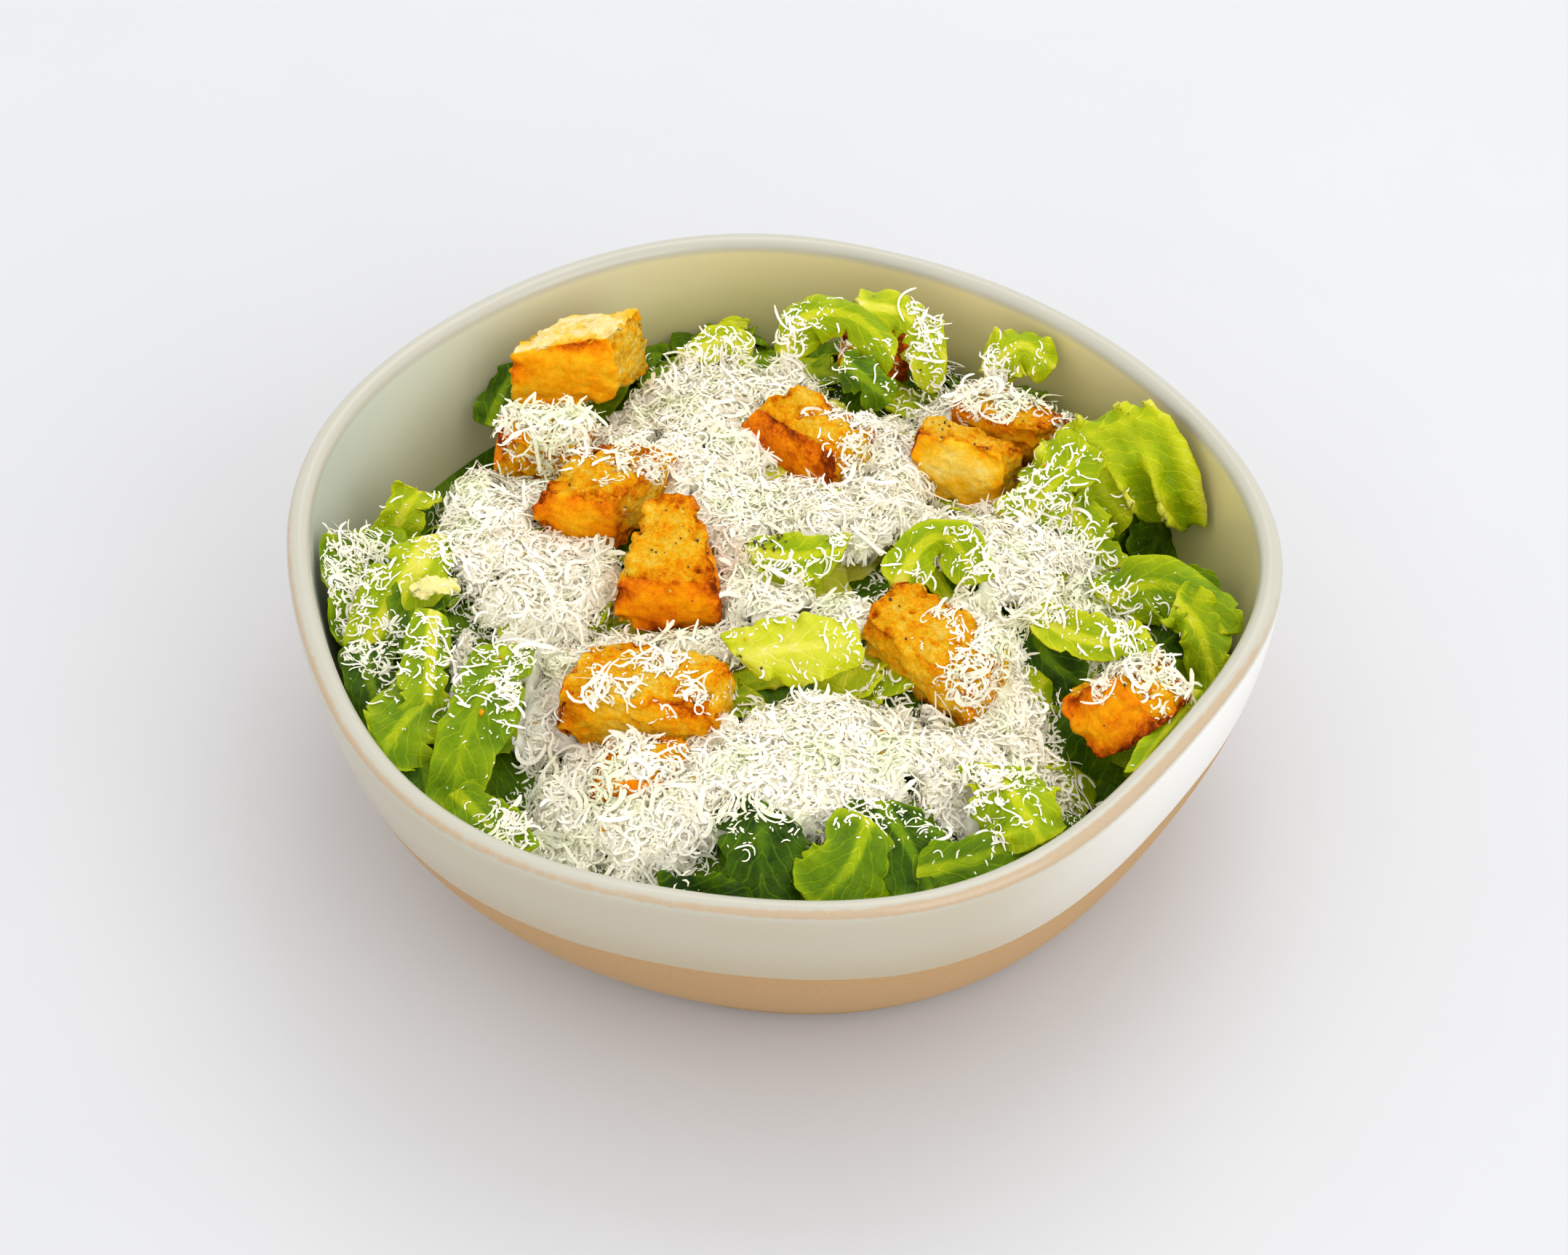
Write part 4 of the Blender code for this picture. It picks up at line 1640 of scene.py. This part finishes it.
@dataclass(frozen=True)
class Drift:
    """A soft-edged patch of grated cheese seen from above, in millimetres, piled up by its rise."""

    x: float
    y: float
    reach_x: float
    reach_y: float
    weight: float
    rise: float = 0.0

    def away(self, x: Array, y: Array) -> Array:
        """How far places in metres lie from the patch's middle, squared, with 1 at its reach."""
        return ((x / MM - self.x) / self.reach_x) ** 2 + ((y / MM - self.y) / self.reach_y) ** 2


DRIFTS: tuple[Drift, ...] = (
    Drift(-62, 16, 13, 22, 1.0, 2.5),
    Drift(-47, 39, 15, 14, 1.0),
    Drift(-50, -8, 12, 13, 0.85),
    Drift(-43, 3, 9, 14, 0.9),
    Drift(-33, 36, 14, 13, 0.95),
    Drift(-15, 63, 25, 12, 1.0),
    Drift(-18, 38, 12, 19, 1.0),
    Drift(2, 15, 25, 11, 1.0),
    Drift(-9, -3, 6, 11, 0.85),
    Drift(22, 35, 10, 17, 0.95),
    Drift(44, 57, 15, 8, 0.95),
    Drift(34, 75, 8, 11, 0.65),
    Drift(50, 3, 18, 19, 1.0),
    Drift(60, -13, 13, 9, 1.0),
    Drift(-3, -15, 13, 7, 0.9),
    Drift(-28, -24, 17, 6, 0.85),
    Drift(14, -18, 9, 6, 0.8),
    Drift(16, 2, 8, 5, 0.7),
    Drift(40, -28, 12, 14, 0.95),
    Drift(9, -54, 36, 13, 1.0),
    Drift(-2, -68, 26, 11, 0.95),
    Drift(-31, -64, 20, 20, 1.0),
    Drift(-44, -74, 15, 13, 0.8),
    Drift(48, -50, 14, 15, 0.7),
    Drift(37, -69, 12, 11, 0.6),
    Drift(-51, -36, 8, 18, 0.62),
    Drift(-67, 37, 9, 12, 1.0, 10.0),
    Drift(-92, 2, 9, 18, 0.75),
    Drift(-87, -22, 10, 8, 0.5),
    Drift(-78, -30, 6, 12, 0.3),
    Drift(-67, -29, 5, 15, 0.55),
    Drift(76, 13, 6, 7, 0.55),
    Drift(74, -24, 8, 6, 0.5),
    Drift(-34, 76, 8, 4, 0.5),
    Drift(-13, 75, 7, 5, 0.4),
)

# Bare patches where leaves stand clear of the cheese
CLEARINGS: tuple[Drift, ...] = (
    Drift(4, -3, 10, 4, 0.9),
    Drift(33, -5, 8, 5, 0.9),
    Drift(2, -34, 13, 6, 0.85),
    Drift(-74, -10, 8, 6, 0.7),
    Drift(18, 56, 7, 5, 0.85),
    Drift(57, -25, 6, 4, 0.9),
    Drift(-2, -84, 16, 7, 0.8),
    Drift(-61, -50, 5, 13, 0.8),
    Drift(-77, -52, 6, 8, 0.6),
    Drift(76, 24, 8, 8, 0.6),
)


class Curl(Enum):
    """The kinds of grated shred."""

    FLUFF = "fluff"
    SHORT = "short_shreds"
    LONG = "long_shreds"
    LOOPS = "loops"
    RIBBONS = "ribbons"
    BITS = "bits"


@dataclass(frozen=True)
class ShredKind:
    """One kind of shred: how it is shaped, in millimetres and degrees, and how many there are."""

    kind: Curl
    count: int
    length: Range
    bend: Range
    width: float
    thickness: float
    segments: int
    tilt: float
    lift: float
    seed: int
    sparse: float = 1.0


SHREDS: tuple[ShredKind, ...] = (
    ShredKind(Curl.FLUFF, 5900, (3, 7), (20, 200), 0.66, 0.09, 5, 11, 0.65, 1, 1.4),
    ShredKind(Curl.SHORT, 9600, (1.4, 4), (10, 120), 0.62, 0.10, 3, 12, 0.8, 2, 1.2),
    ShredKind(Curl.LONG, 3500, (6, 12), (20, 220), 0.56, 0.09, 8, 8, 0.85, 3, 1.0),
    ShredKind(Curl.LOOPS, 1000, (6, 12), (120, 300), 0.50, 0.09, 10, 18, 0.9, 4, 0.8),
    ShredKind(Curl.RIBBONS, 700, (6, 12), (20, 200), 1.00, 0.10, 9, 11, 1.0, 6, 1.2),
    ShredKind(Curl.BITS, 13500, (0.6, 2.0), (0, 60), 0.50, 0.13, 2, 20, 0.8, 5, 0.72),
)


@dataclass
class Cheese:
    """The grated cheese: a fluffy mass lying on the leaves, and shreds of six kinds over everything.

    raggedness and mass_lumps give the amount, the size and the seed of each noise, and the depths how far
    shreds stand off what carries them, at least and in addition where they lie thick.
    """

    field: HeightField
    bowl: Bowl
    finish: CheeseFinish = field(default_factory=CheeseFinish)
    dusting: float = 0.34
    dusting_middle: Range = (-4, -6)
    dusting_fade: Range = (84, 58)
    edge_fall: float = 1.6
    raggedness: tuple[tuple[float, float, float], ...] = ((0.34, 0.0085, 6.0), (0.22, 0.0034, 7.0))
    holes: float = 0.55
    hole_size: float = 0.0042
    hole_band: Range = (0.36, 0.60)
    sink: float = 0.0008
    thin_sink: float = 0.0028
    skin: float = 0.0035
    mass_cover: Range = (0.52, 0.84)
    mass_reach: float = 0.092
    mass_lumps: tuple[tuple[float, float, float], ...] = ((0.0016, 0.0060, 3.0), (0.0007, 0.0018, 4.0))
    carrier_reach: float = 0.098
    carrier_step: float = 0.006
    least_cover: float = 0.02
    loose_depth: Range = (0.0005, 0.0011)
    bread_depth: Range = (0.0004, 0.0012)
    pitch: float = 0.0009
    on_mass: float = 0.9
    variants: int = 14

    def bare_share(self, x: Array, y: Array, patches: Sequence[Drift]) -> Array:
        """How much of each place some patches leave free.

        Args:
            x, y: places in metres.
            patches: the patches.

        Returns:
            Shares from 0, covered, to 1, free.
        """
        left = np.ones_like(x)
        for patch in patches:
            left *= 1 - patch.weight * np.exp(-(patch.away(x, y) ** self.edge_fall))
        return left

    def cover_at(self, x: Array, y: Array) -> Array:
        """How thickly cheese lies at each place, ragged towards the edges of its drifts.

        Args:
            x, y: places in metres.

        Returns:
            Values from 0, bare, to 1, a full drift.
        """
        off_x, off_y = self.dusting_middle
        dusting = self.dusting * smoothstep(np.hypot(x / MM - off_x, y / MM - off_y), *self.dusting_fade)
        cover = (1 - self.bare_share(x, y, DRIFTS) * (1 - dusting)) * self.bare_share(x, y, CLEARINGS)
        place = np.stack([x, y, 0 * x], 1)
        unsure = np.sqrt(np.clip(4 * cover * (1 - cover), 0, 1))
        ragged = sum(share * noise_at(place, size, seed) for share, size, seed in self.raggedness)
        cover = cover + unsure * ragged
        holes = smoothstep(noise_at(place, self.hole_size, 9.5), *self.hole_band)
        return np.clip(cover * (1 - self.holes * holes), 0, 1)

    def plan(self, reach: float) -> tuple[Array, Array, Array]:
        """A square grid of places over the bowl.

        Args:
            reach: how far it goes from the origin.

        Returns:
            Its axis, and the x and the y of every place.
        """
        axis = np.arange(-reach, reach + self.pitch, self.pitch)
        x, y = (grid.ravel() for grid in np.meshgrid(axis, axis, indexing="ij"))
        return axis, x, y

    def build_mass(self, material: Material) -> Object:
        """The mass under the loose shreds, as one closed sheet with a rough top.

        Args:
            material: the cheese.

        Returns:
            The piece.
        """
        axis, x, y = self.plan(self.mass_reach)
        solid = smoothstep(self.cover_at(x, y), *self.mass_cover)
        place = np.stack([x, y, 0 * x], 1)
        rough = sum(noise_at(place, size, seed) * depth for depth, size, seed in self.mass_lumps)
        piled = sum(drift.rise * MM * np.exp(-drift.away(x, y)) for drift in DRIFTS)
        sunk = self.field.at(x, y) - self.sink - self.thin_sink * (1 - solid)
        top = sunk + rough * (0.4 + 0.6 * solid) + piled
        inside = (np.hypot(x, y) < self.mass_reach) & (solid > self.least_cover)
        index = np.full(len(x), -1)
        index[inside] = np.arange(inside.sum())
        cells = index.reshape(len(axis), len(axis))
        quads = np.stack([cells[:-1, :-1], cells[1:, :-1], cells[1:, 1:], cells[:-1, 1:]], -1).reshape(-1, 4)
        quads = quads[(quads >= 0).all(1)]
        points = np.stack([x, y, top], 1)[inside]
        used = np.unique(quads)
        renumber = np.full(len(points), -1)
        renumber[used] = np.arange(len(used))
        mesh = bpy.data.meshes.new("cheese_mass")
        mesh.from_pydata(points[used].tolist(), [], renumber[quads].tolist())
        obj = new_object("cheese_mass", mesh)
        modifier = obj.modifiers.new("thickness", "SOLIDIFY")
        modifier.thickness, modifier.offset, modifier.use_even_offset = self.skin, -1, False
        closed = freeze(obj)
        closed.materials.append(material)
        closed.shade_smooth()
        return obj

    def look_down(
        self, axis: Array, pieces: Sequence[Object], croutons: Sequence[Object]
    ) -> tuple[Array, Array]:
        """What shows from straight above, between the croutons.

        Args:
            axis: the grid's axis.
            pieces: leaves, core and, last, the mass.
            croutons: the croutons.

        Returns:
            The heights, without a value where nothing or a crouton shows, and 1 where the mass shows.
        """
        graph = bpy.context.evaluated_depsgraph_get()
        trees = [BVHTree.FromObject(piece, graph) for piece in pieces]
        bread = [BVHTree.FromObject(piece, graph) for piece in croutons]
        heights = np.full((len(axis), len(axis)), np.nan)
        on_mass = np.zeros(heights.shape)
        for i, x in enumerate(axis):
            for j, y in enumerate(axis):
                if any(top_at(tree, x, y) > NOWHERE for tree in bread):
                    continue
                tops = [top_at(tree, x, y) for tree in trees]
                if max(tops) > 0:
                    heights[i, j] = max(tops)
                    on_mass[i, j] = tops[-1] == max(tops)
        return heights, on_mass

    def build_carrier(self, pieces: Sequence[Object], croutons: Sequence[Object]) -> Object:
        """The surface that shreds settle on: what shows from above, and the croutons' own faces.

        Args:
            pieces: leaves, core and, last, the mass, seen from straight above.
            croutons: the croutons, which carry their own cover.

        Returns:
            A temporary object with the attributes "cover" and "depth".
        """
        axis, x, y = self.plan(self.carrier_reach)
        heights, on_mass = self.look_down(axis, pieces, croutons)
        cover = np.maximum(self.cover_at(x, y), self.on_mass * on_mass.ravel())
        known = ~np.isnan(heights)
        quads = []
        good = known[:-1, :-1] & known[1:, :-1] & known[1:, 1:] & known[:-1, 1:]
        for i, j in zip(*np.nonzero(good)):
            corner = heights[i : i + 2, j : j + 2]
            if corner.max() - corner.min() < self.carrier_step:
                first = i * len(axis) + j
                quads.append((first, first + len(axis), first + len(axis) + 1, first + 1))
        pile = MeshPile()
        points = np.stack([x, y, np.nan_to_num(heights, nan=0.03).ravel()], 1)
        least, more = self.loose_depth
        pile.add(points, quads, cover=cover, depth=least + more * smoothstep(cover, 0.5, 0.95))
        for piece in croutons:
            cover = read(piece.data.attributes["cover"].data, "value")
            faces = [p.vertices[:] for p in piece.data.polygons if cover[p.vertices[0]] > self.least_cover]
            if faces:
                least, more = self.bread_depth
                points = read(piece.data.vertices, "co", 3)
                pile.add(points, faces, cover=cover, depth=least + more * cover**2)
        return new_object("carrier", pile.mesh("carrier"))

    def shred_mesh(self, kind: ShredKind, rng: random.Random, name: str) -> Mesh:
        """One curly shred about its own middle: a thin three-sided strip that tapers to its ends.

        Args:
            kind: the shred's kind.
            rng: the kind's random numbers.
            name: the mesh's name.

        Returns:
            The mesh.
        """
        length = rng.uniform(*kind.length)
        bend = math.radians(rng.uniform(*kind.bend)) * rng.choice((-1, 1))
        tighten = rng.uniform(-0.8, 0.8)
        kink = rng.uniform(0.2, 0.55) * math.tau * min(1.0, length / 7)
        waves, start = rng.uniform(0.7, 1.7) * math.tau, rng.uniform(0, math.tau)
        rise = rng.uniform(-0.35, 0.35)
        line = [Vector((0, 0, 0))]
        headings = []
        steps = kind.segments
        heading = 0.0
        for k in range(steps):
            share = k / max(1, steps - 1)
            heading += bend / steps * (1 + tighten * (share - 0.5) * 2)
            heading += kink / steps * math.sin(waves * share + start)
            ahead = Vector((math.cos(heading), math.sin(heading), rise * math.cos(2.2 * share + start)))
            headings.append(ahead.normalized())
            line.append(line[-1] + headings[-1] * (length / steps))
        headings.append(headings[-1])
        middle = sum(line, Vector()) / len(line)
        twist = rng.uniform(-0.7, 0.7)
        points = []
        for k, place in enumerate(line):
            ahead = (headings[max(0, k - 1)] + headings[k]).normalized()
            side = ahead.cross(Vector((0, 0, 1))).normalized()
            turn = twist * (k / steps - 0.5) + 0.15
            across = side * math.cos(turn) + ahead.cross(side) * math.sin(turn)
            over = ahead.cross(across)
            taper = 0.45 if k in (0, steps) else 1.0
            half, thick = kind.width / 2 * taper, kind.thickness * taper
            for u, v in ((-1, 0), (1, 0), (0, 1)):
                points.append((place - middle + across * (u * half) + over * (v * thick)) * MM)
        faces = grid_faces(steps + 1, 3, wrap=True)
        faces += [(0, 1, 2), tuple(3 * steps + i for i in (2, 1, 0))]
        mesh = bpy.data.meshes.new(name)
        mesh.from_pydata([tuple(p) for p in points], [], faces)
        face_outwards(mesh)
        return mesh

    def variants_of(self, kind: ShredKind) -> Collection:
        """A hidden collection of differently curled shreds.

        Args:
            kind: their kind.

        Returns:
            The collection, outside the scene.
        """
        collection = bpy.data.collections.new(f"{kind.kind.value}_variants")
        rng = random.Random(900 + kind.seed)
        for number in range(self.variants):
            name = f"{kind.kind.value}_{number:02d}"
            collection.objects.link(bpy.data.objects.new(name, self.shred_mesh(kind, rng, name)))
        return collection

    def scatter(self, carrier: Object, kind: ShredKind, material: Material) -> Object:
        """Settles one kind of shred on the carrier by Geometry Nodes.

        Args:
            carrier: the surface, with its cover.
            kind: the shred.
            material: the cheese.

        Returns:
            The finished plain mesh.
        """
        collection = self.variants_of(kind)
        tree = ShredScatter(collection, material).tree()
        total = self.weighted_area(carrier, kind.sparse)
        piece = new_object(f"cheese_{kind.kind.value}", carrier.data)
        modifier = piece.modifiers.new("scatter", "NODES")
        modifier.node_group = tree
        sizes = {
            "Density": kind.count / total,
            "Power": kind.sparse,
            "Tilt": math.radians(kind.tilt),
            "Lift": kind.lift,
            "Seed": kind.seed,
        }
        for item in tree.interface.items_tree:
            if item.item_type == "SOCKET" and item.in_out == "INPUT" and item.name in sizes:
                modifier[item.identifier] = sizes[item.name]
        mesh = freeze(piece)
        mesh.name = piece.name
        for name in ("cover", "depth"):
            if name in mesh.attributes:
                mesh.attributes.remove(mesh.attributes[name])
        place = self.bowl.contain(read(mesh.vertices, "co", 3))
        mesh.vertices.foreach_set("co", place.ravel())
        for obj in list(collection.objects):
            bpy.data.objects.remove(obj)
        bpy.data.collections.remove(collection)
        return piece

    @staticmethod
    def weighted_area(carrier: Object, power: float) -> float:
        """The carrier's area in square metres, each face counted by its cover to this power."""
        cover = read(carrier.data.attributes["cover"].data, "value")
        return sum(p.area * float(np.mean(cover[list(p.vertices)])) ** power for p in carrier.data.polygons)

    def build(self, leaves: Sequence[Object], croutons: Sequence[Object]) -> Object:
        """Builds the mass and every kind of shred.

        Args:
            leaves: the core and the leaves, which the cheese lies on.
            croutons: the croutons, which it dusts.

        Returns:
            The mass.
        """
        material = self.finish.material()
        mass = self.build_mass(material)
        report(mass, "hard_cheese", "grated_cheese")
        carrier = self.build_carrier([*leaves, mass], croutons)
        for kind in SHREDS:
            report(self.scatter(carrier, kind, material), "hard_cheese")
        bpy.data.objects.remove(carrier)
        return mass


@dataclass(frozen=True)
class ShredScatter:
    """The Geometry Nodes tree that settles shreds from a collection on a surface."""

    collection: Collection
    material: Material
    full_turn: float = 6.2832
    sizes: Range = (0.75, 1.2)
    size_bare: float = 0.62
    size_gain: float = 0.42

    @staticmethod
    def named(graph: NodeGraph, name: str) -> Value:
        """A number stored at the surface's points."""
        return graph.value("GeometryNodeInputNamedAttribute", {"Name": name}, data_type="FLOAT")

    @staticmethod
    def chance(given: dict[str, Value], low: object, high: object, salt: int) -> Value:
        """A random number for each shred.

        Args:
            given: the tree's inputs.
            low, high: the number's limits.
            salt: sets it apart from the others.

        Returns:
            The number.
        """
        seed = given["Seed"] + salt * 17
        limits = {2: low, 3: high, "Seed": seed}
        return seed.graph.value("FunctionNodeRandomValue", limits, 1, data_type="FLOAT")

    def tree(self) -> NodeTree:
        """Builds the tree, with the inputs Density, Power, Tilt, Lift and Seed.

        Returns:
            The tree, which gives a real mesh with its material.
        """
        tree = bpy.data.node_groups.new("shred_scatter", "GeometryNodeTree")
        numbers = [(name, "Float") for name in ("Density", "Power", "Tilt", "Lift")]
        for name, kind in (("Geometry", "Geometry"), *numbers, ("Seed", "Int")):
            tree.interface.new_socket(name, in_out="INPUT", socket_type=f"NodeSocket{kind}")
        tree.interface.new_socket("Geometry", in_out="OUTPUT", socket_type="NodeSocketGeometry")
        graph = NodeGraph(tree)
        given = {way.name: Value(graph, way) for way in graph.add("NodeGroupInput").outputs}
        density = self.named(graph, "cover") ** given["Power"] * given["Density"]
        points = graph.add(
            "GeometryNodeDistributePointsOnFaces",
            {"Mesh": given["Geometry"], "Density": density, "Seed": given["Seed"]},
        )
        lift = self.named(graph, "depth") * given["Lift"] * self.chance(given, 0.0, 1.0, 1)
        lifted = {0: points.outputs["Normal"], "Scale": lift}
        raised = graph.add("ShaderNodeVectorMath", lifted, operation="SCALE")
        moved = graph.add(
            "GeometryNodeSetPosition",
            {"Geometry": points.outputs["Points"], "Offset": raised.outputs[0]},
        )
        tilt = given["Tilt"]
        limits = ((tilt * -1.0, tilt), (tilt * -1.0, tilt), (0.0, self.full_turn))
        turns = {axis: self.chance(given, *pair, axis + 2) for axis, pair in enumerate(limits)}
        turn = graph.add("ShaderNodeCombineXYZ", turns)
        euler = graph.add("FunctionNodeEulerToRotation", {0: turn.outputs[0]})
        rotation = graph.add(
            "FunctionNodeRotateRotation",
            {0: points.outputs["Rotation"], 1: euler.outputs[0]},
            rotation_space="LOCAL",
        )
        shapes = graph.add(
            "GeometryNodeCollectionInfo",
            {"Collection": self.collection, "Separate Children": True, "Reset Children": True},
        )
        grown = self.size_bare + self.named(graph, "cover") * self.size_gain
        size = self.chance(given, *self.sizes, 5) * grown
        placed = graph.add(
            "GeometryNodeInstanceOnPoints",
            {
                "Points": moved.outputs[0],
                "Instance": shapes.outputs[0],
                "Pick Instance": True,
                "Rotation": rotation.outputs[0],
                "Scale": graph.add("ShaderNodeCombineXYZ", {0: size, 1: size, 2: size}).outputs[0],
            },
        )
        real = graph.add("GeometryNodeRealizeInstances", {0: placed.outputs[0]})
        dressing = {"Geometry": real.outputs[0], "Material": self.material}
        dressed = graph.add("GeometryNodeSetMaterial", dressing)
        graph.add("NodeGroupOutput", {0: dressed.outputs[0]})
        return tree


# ------------ pepper and crumbs


@dataclass(frozen=True)
class Sprinkle:
    """A handful of specks dropped round one place: centre, spread, count and sizes in millimetres."""

    x: float
    y: float
    spread: float
    count: int
    sizes: Range


PEPPER: tuple[Sprinkle, ...] = (
    Sprinkle(0, 0, 44, 110, (0.3, 0.7)),
    Sprinkle(37, 35, 6, 22, (0.3, 0.8)),
    Sprinkle(22, -20, 3, 7, (0.5, 1.0)),
    Sprinkle(-4, -3, 4, 14, (0.4, 1.1)),
    Sprinkle(-23, -4, 6, 12, (0.3, 0.7)),
    Sprinkle(72, -38, 7, 14, (0.4, 0.9)),
    Sprinkle(44, 3, 9, 10, (0.3, 0.8)),
)
CRUMBS: tuple[Sprinkle, ...] = (
    Sprinkle(-30, -42, 16, 14, (0.7, 1.6)),
    Sprinkle(8, -50, 16, 7, (0.7, 1.4)),
    Sprinkle(-38, 12, 10, 8, (0.7, 1.5)),
    Sprinkle(42, 28, 12, 8, (0.7, 1.5)),
)


@dataclass
class Specks:
    """Ground pepper and crumbs of the croutons, lying on whatever is under them."""

    bowl: Bowl
    pepper: PlainFinish = PlainFinish("ground_pepper", shade(46, 34, 24), shade(92, 66, 40), 0.6, 0.7)
    seed: int = 404
    rise: float = 0.5
    reach_mm: float = 84

    def drop(self, trees: Sequence[BVHTree], handfuls: Sequence[Sprinkle], rng: random.Random) -> MeshPile:
        """Drops each handful on what lies below it.

        Args:
            trees: the surfaces.
            handfuls: the specks.
            rng: the random numbers.

        Returns:
            The specks, with the browning that bread needs.
        """
        pile = MeshPile()
        for handful in handfuls:
            for _ in range(handful.count):
                x, y = rng.gauss(handful.x, handful.spread), rng.gauss(handful.y, handful.spread)
                top = max(top_at(tree, x * MM, y * MM) for tree in trees)
                size = rng.uniform(*handful.sizes)
                if top > NOWHERE and math.hypot(x, y) < self.reach_mm:
                    self.speck(pile, Vector((x * MM, y * MM, top + self.rise * size * MM)), size * MM, rng)
        return self.bowl.hold(pile)

    @staticmethod
    def speck(pile: MeshPile, place: Vector, size: float, rng: random.Random) -> None:
        """Adds one angular grain.

        Args:
            pile: the mesh that it joins.
            place: its middle.
            size: how wide it is, in metres.
            rng: the random numbers.
        """
        grain = bmesh.new()
        bmesh.ops.create_icosphere(grain, subdivisions=1, radius=size / 2)
        stretch = Vector([rng.uniform(0.6, 1.3) for _ in range(3)])
        points = [place + vert.co * stretch * rng.uniform(0.75, 1.2) for vert in grain.verts]
        faces = [[vert.index for vert in face.verts] for face in grain.faces]
        grain.free()
        toast = np.full(len(points), rng.uniform(0.3, 0.8))
        pile.add(np.array(points), faces, toast=toast, pit=0 * toast, crust=0 * toast)

    def build(self, under: Sequence[Object], bread: Material) -> None:
        """Builds the pepper and the crumbs.

        Args:
            under: the pieces that they lie on.
            bread: the croutons' material.
        """
        graph = bpy.context.evaluated_depsgraph_get()
        trees = [BVHTree.FromObject(piece, graph) for piece in under]
        rng = random.Random(self.seed)
        pepper = self.drop(trees, PEPPER, rng)
        report(pepper.build("pepper_grains", self.pepper.material(), smooth=False), "toasted_bread")
        crumbs = self.drop(trees, CRUMBS, rng)
        report(crumbs.build("bread_crumbs", bread, smooth=False), "toasted_bread")


# ------------ studio


@dataclass(frozen=True)
class Studio:
    """A pale floor, soft light from above and behind, and the camera."""

    floor_half: float = 3.0
    lens: float = 85.0
    sensor: float = 36.0
    distance: float = 0.8584
    elevation: float = 45.0
    target: Point = (0.0003, 0.0439, 0.0)
    room_light: float = 1.18
    lamps: tuple[tuple[str, Point, float], ...] = (
        ("window", (0.3, 0.8, 1.5), 5.0),
        ("reflector", (0.8, -0.9, 0.8), 5.5),
    )
    lamp_size: float = 1.0
    looked_at: Point = (0.0, 0.0, 0.05)

    def build(self) -> None:
        """Builds floor, lights, world and camera."""
        scene = bpy.context.scene
        scene.view_settings.view_transform = "Standard"
        half = self.floor_half
        mesh = bpy.data.meshes.new("floor")
        square = [(-half, -half, 0), (half, -half, 0), (half, half, 0), (-half, half, 0)]
        mesh.from_pydata(square, [], [(0, 1, 2, 3)])
        paint = PlainFinish("pale_floor", shade(206, 207, 209), shade(202, 203, 206), 60, 0.6)
        mesh.materials.append(paint.material())
        new_object("floor", mesh)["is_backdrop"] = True
        world = bpy.data.worlds.new("soft_room")
        scene.world = world
        world.use_nodes = True
        sky = world.node_tree.nodes["Background"].inputs
        sky["Color"].default_value = (1.0, 1.0, 1.0, 1.0)
        sky["Strength"].default_value = self.room_light
        for name, place, power in self.lamps:
            self.light(name, place, power)
        camera = bpy.data.cameras.new("camera")
        camera.lens, camera.sensor_width = self.lens, self.sensor
        holder = new_object("camera", camera)
        angle = math.radians(self.elevation)
        away = Vector((0, -math.cos(angle), math.sin(angle)))
        holder.location = Vector(self.target) + away * self.distance
        holder.rotation_euler = (math.radians(90 - self.elevation), 0, 0)
        scene.camera = holder

    def light(self, name: str, place: Point, power: float) -> None:
        """Adds one square area light that looks at the salad.

        Args:
            name: its name.
            place: where it hangs.
            power: its power in watts.
        """
        lamp = bpy.data.lights.new(name, "AREA")
        lamp.size, lamp.energy = self.lamp_size, power
        obj = new_object(name, lamp)
        obj.location = place
        towards = Vector(self.looked_at) - Vector(place)
        obj.rotation_euler = towards.to_track_quat("-Z", "Y").to_euler()


def main() -> None:
    """Builds every piece of the salad."""
    logging.basicConfig(level=logging.INFO, format="%(message)s")
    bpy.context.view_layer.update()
    Studio().build()
    bowl = Bowl()
    bowl.read_solid()
    bowl.build()
    nodes = [crouton.node for crouton in CROUTONS]
    leaves = Lettuce(HeightField(("lettuce",), nodes).press(HOLLOWS), bowl).build()
    croutons = CroutonBaker(bowl).build()
    cheese_top = HeightField(("grated_cheese", "lettuce"), nodes).press(HOLLOWS)
    mass = Cheese(cheese_top, bowl).build(leaves, croutons)
    Specks(bowl).build([*leaves, *croutons, mass], croutons[0].data.materials[0])


if __name__ == "__main__":
    main()
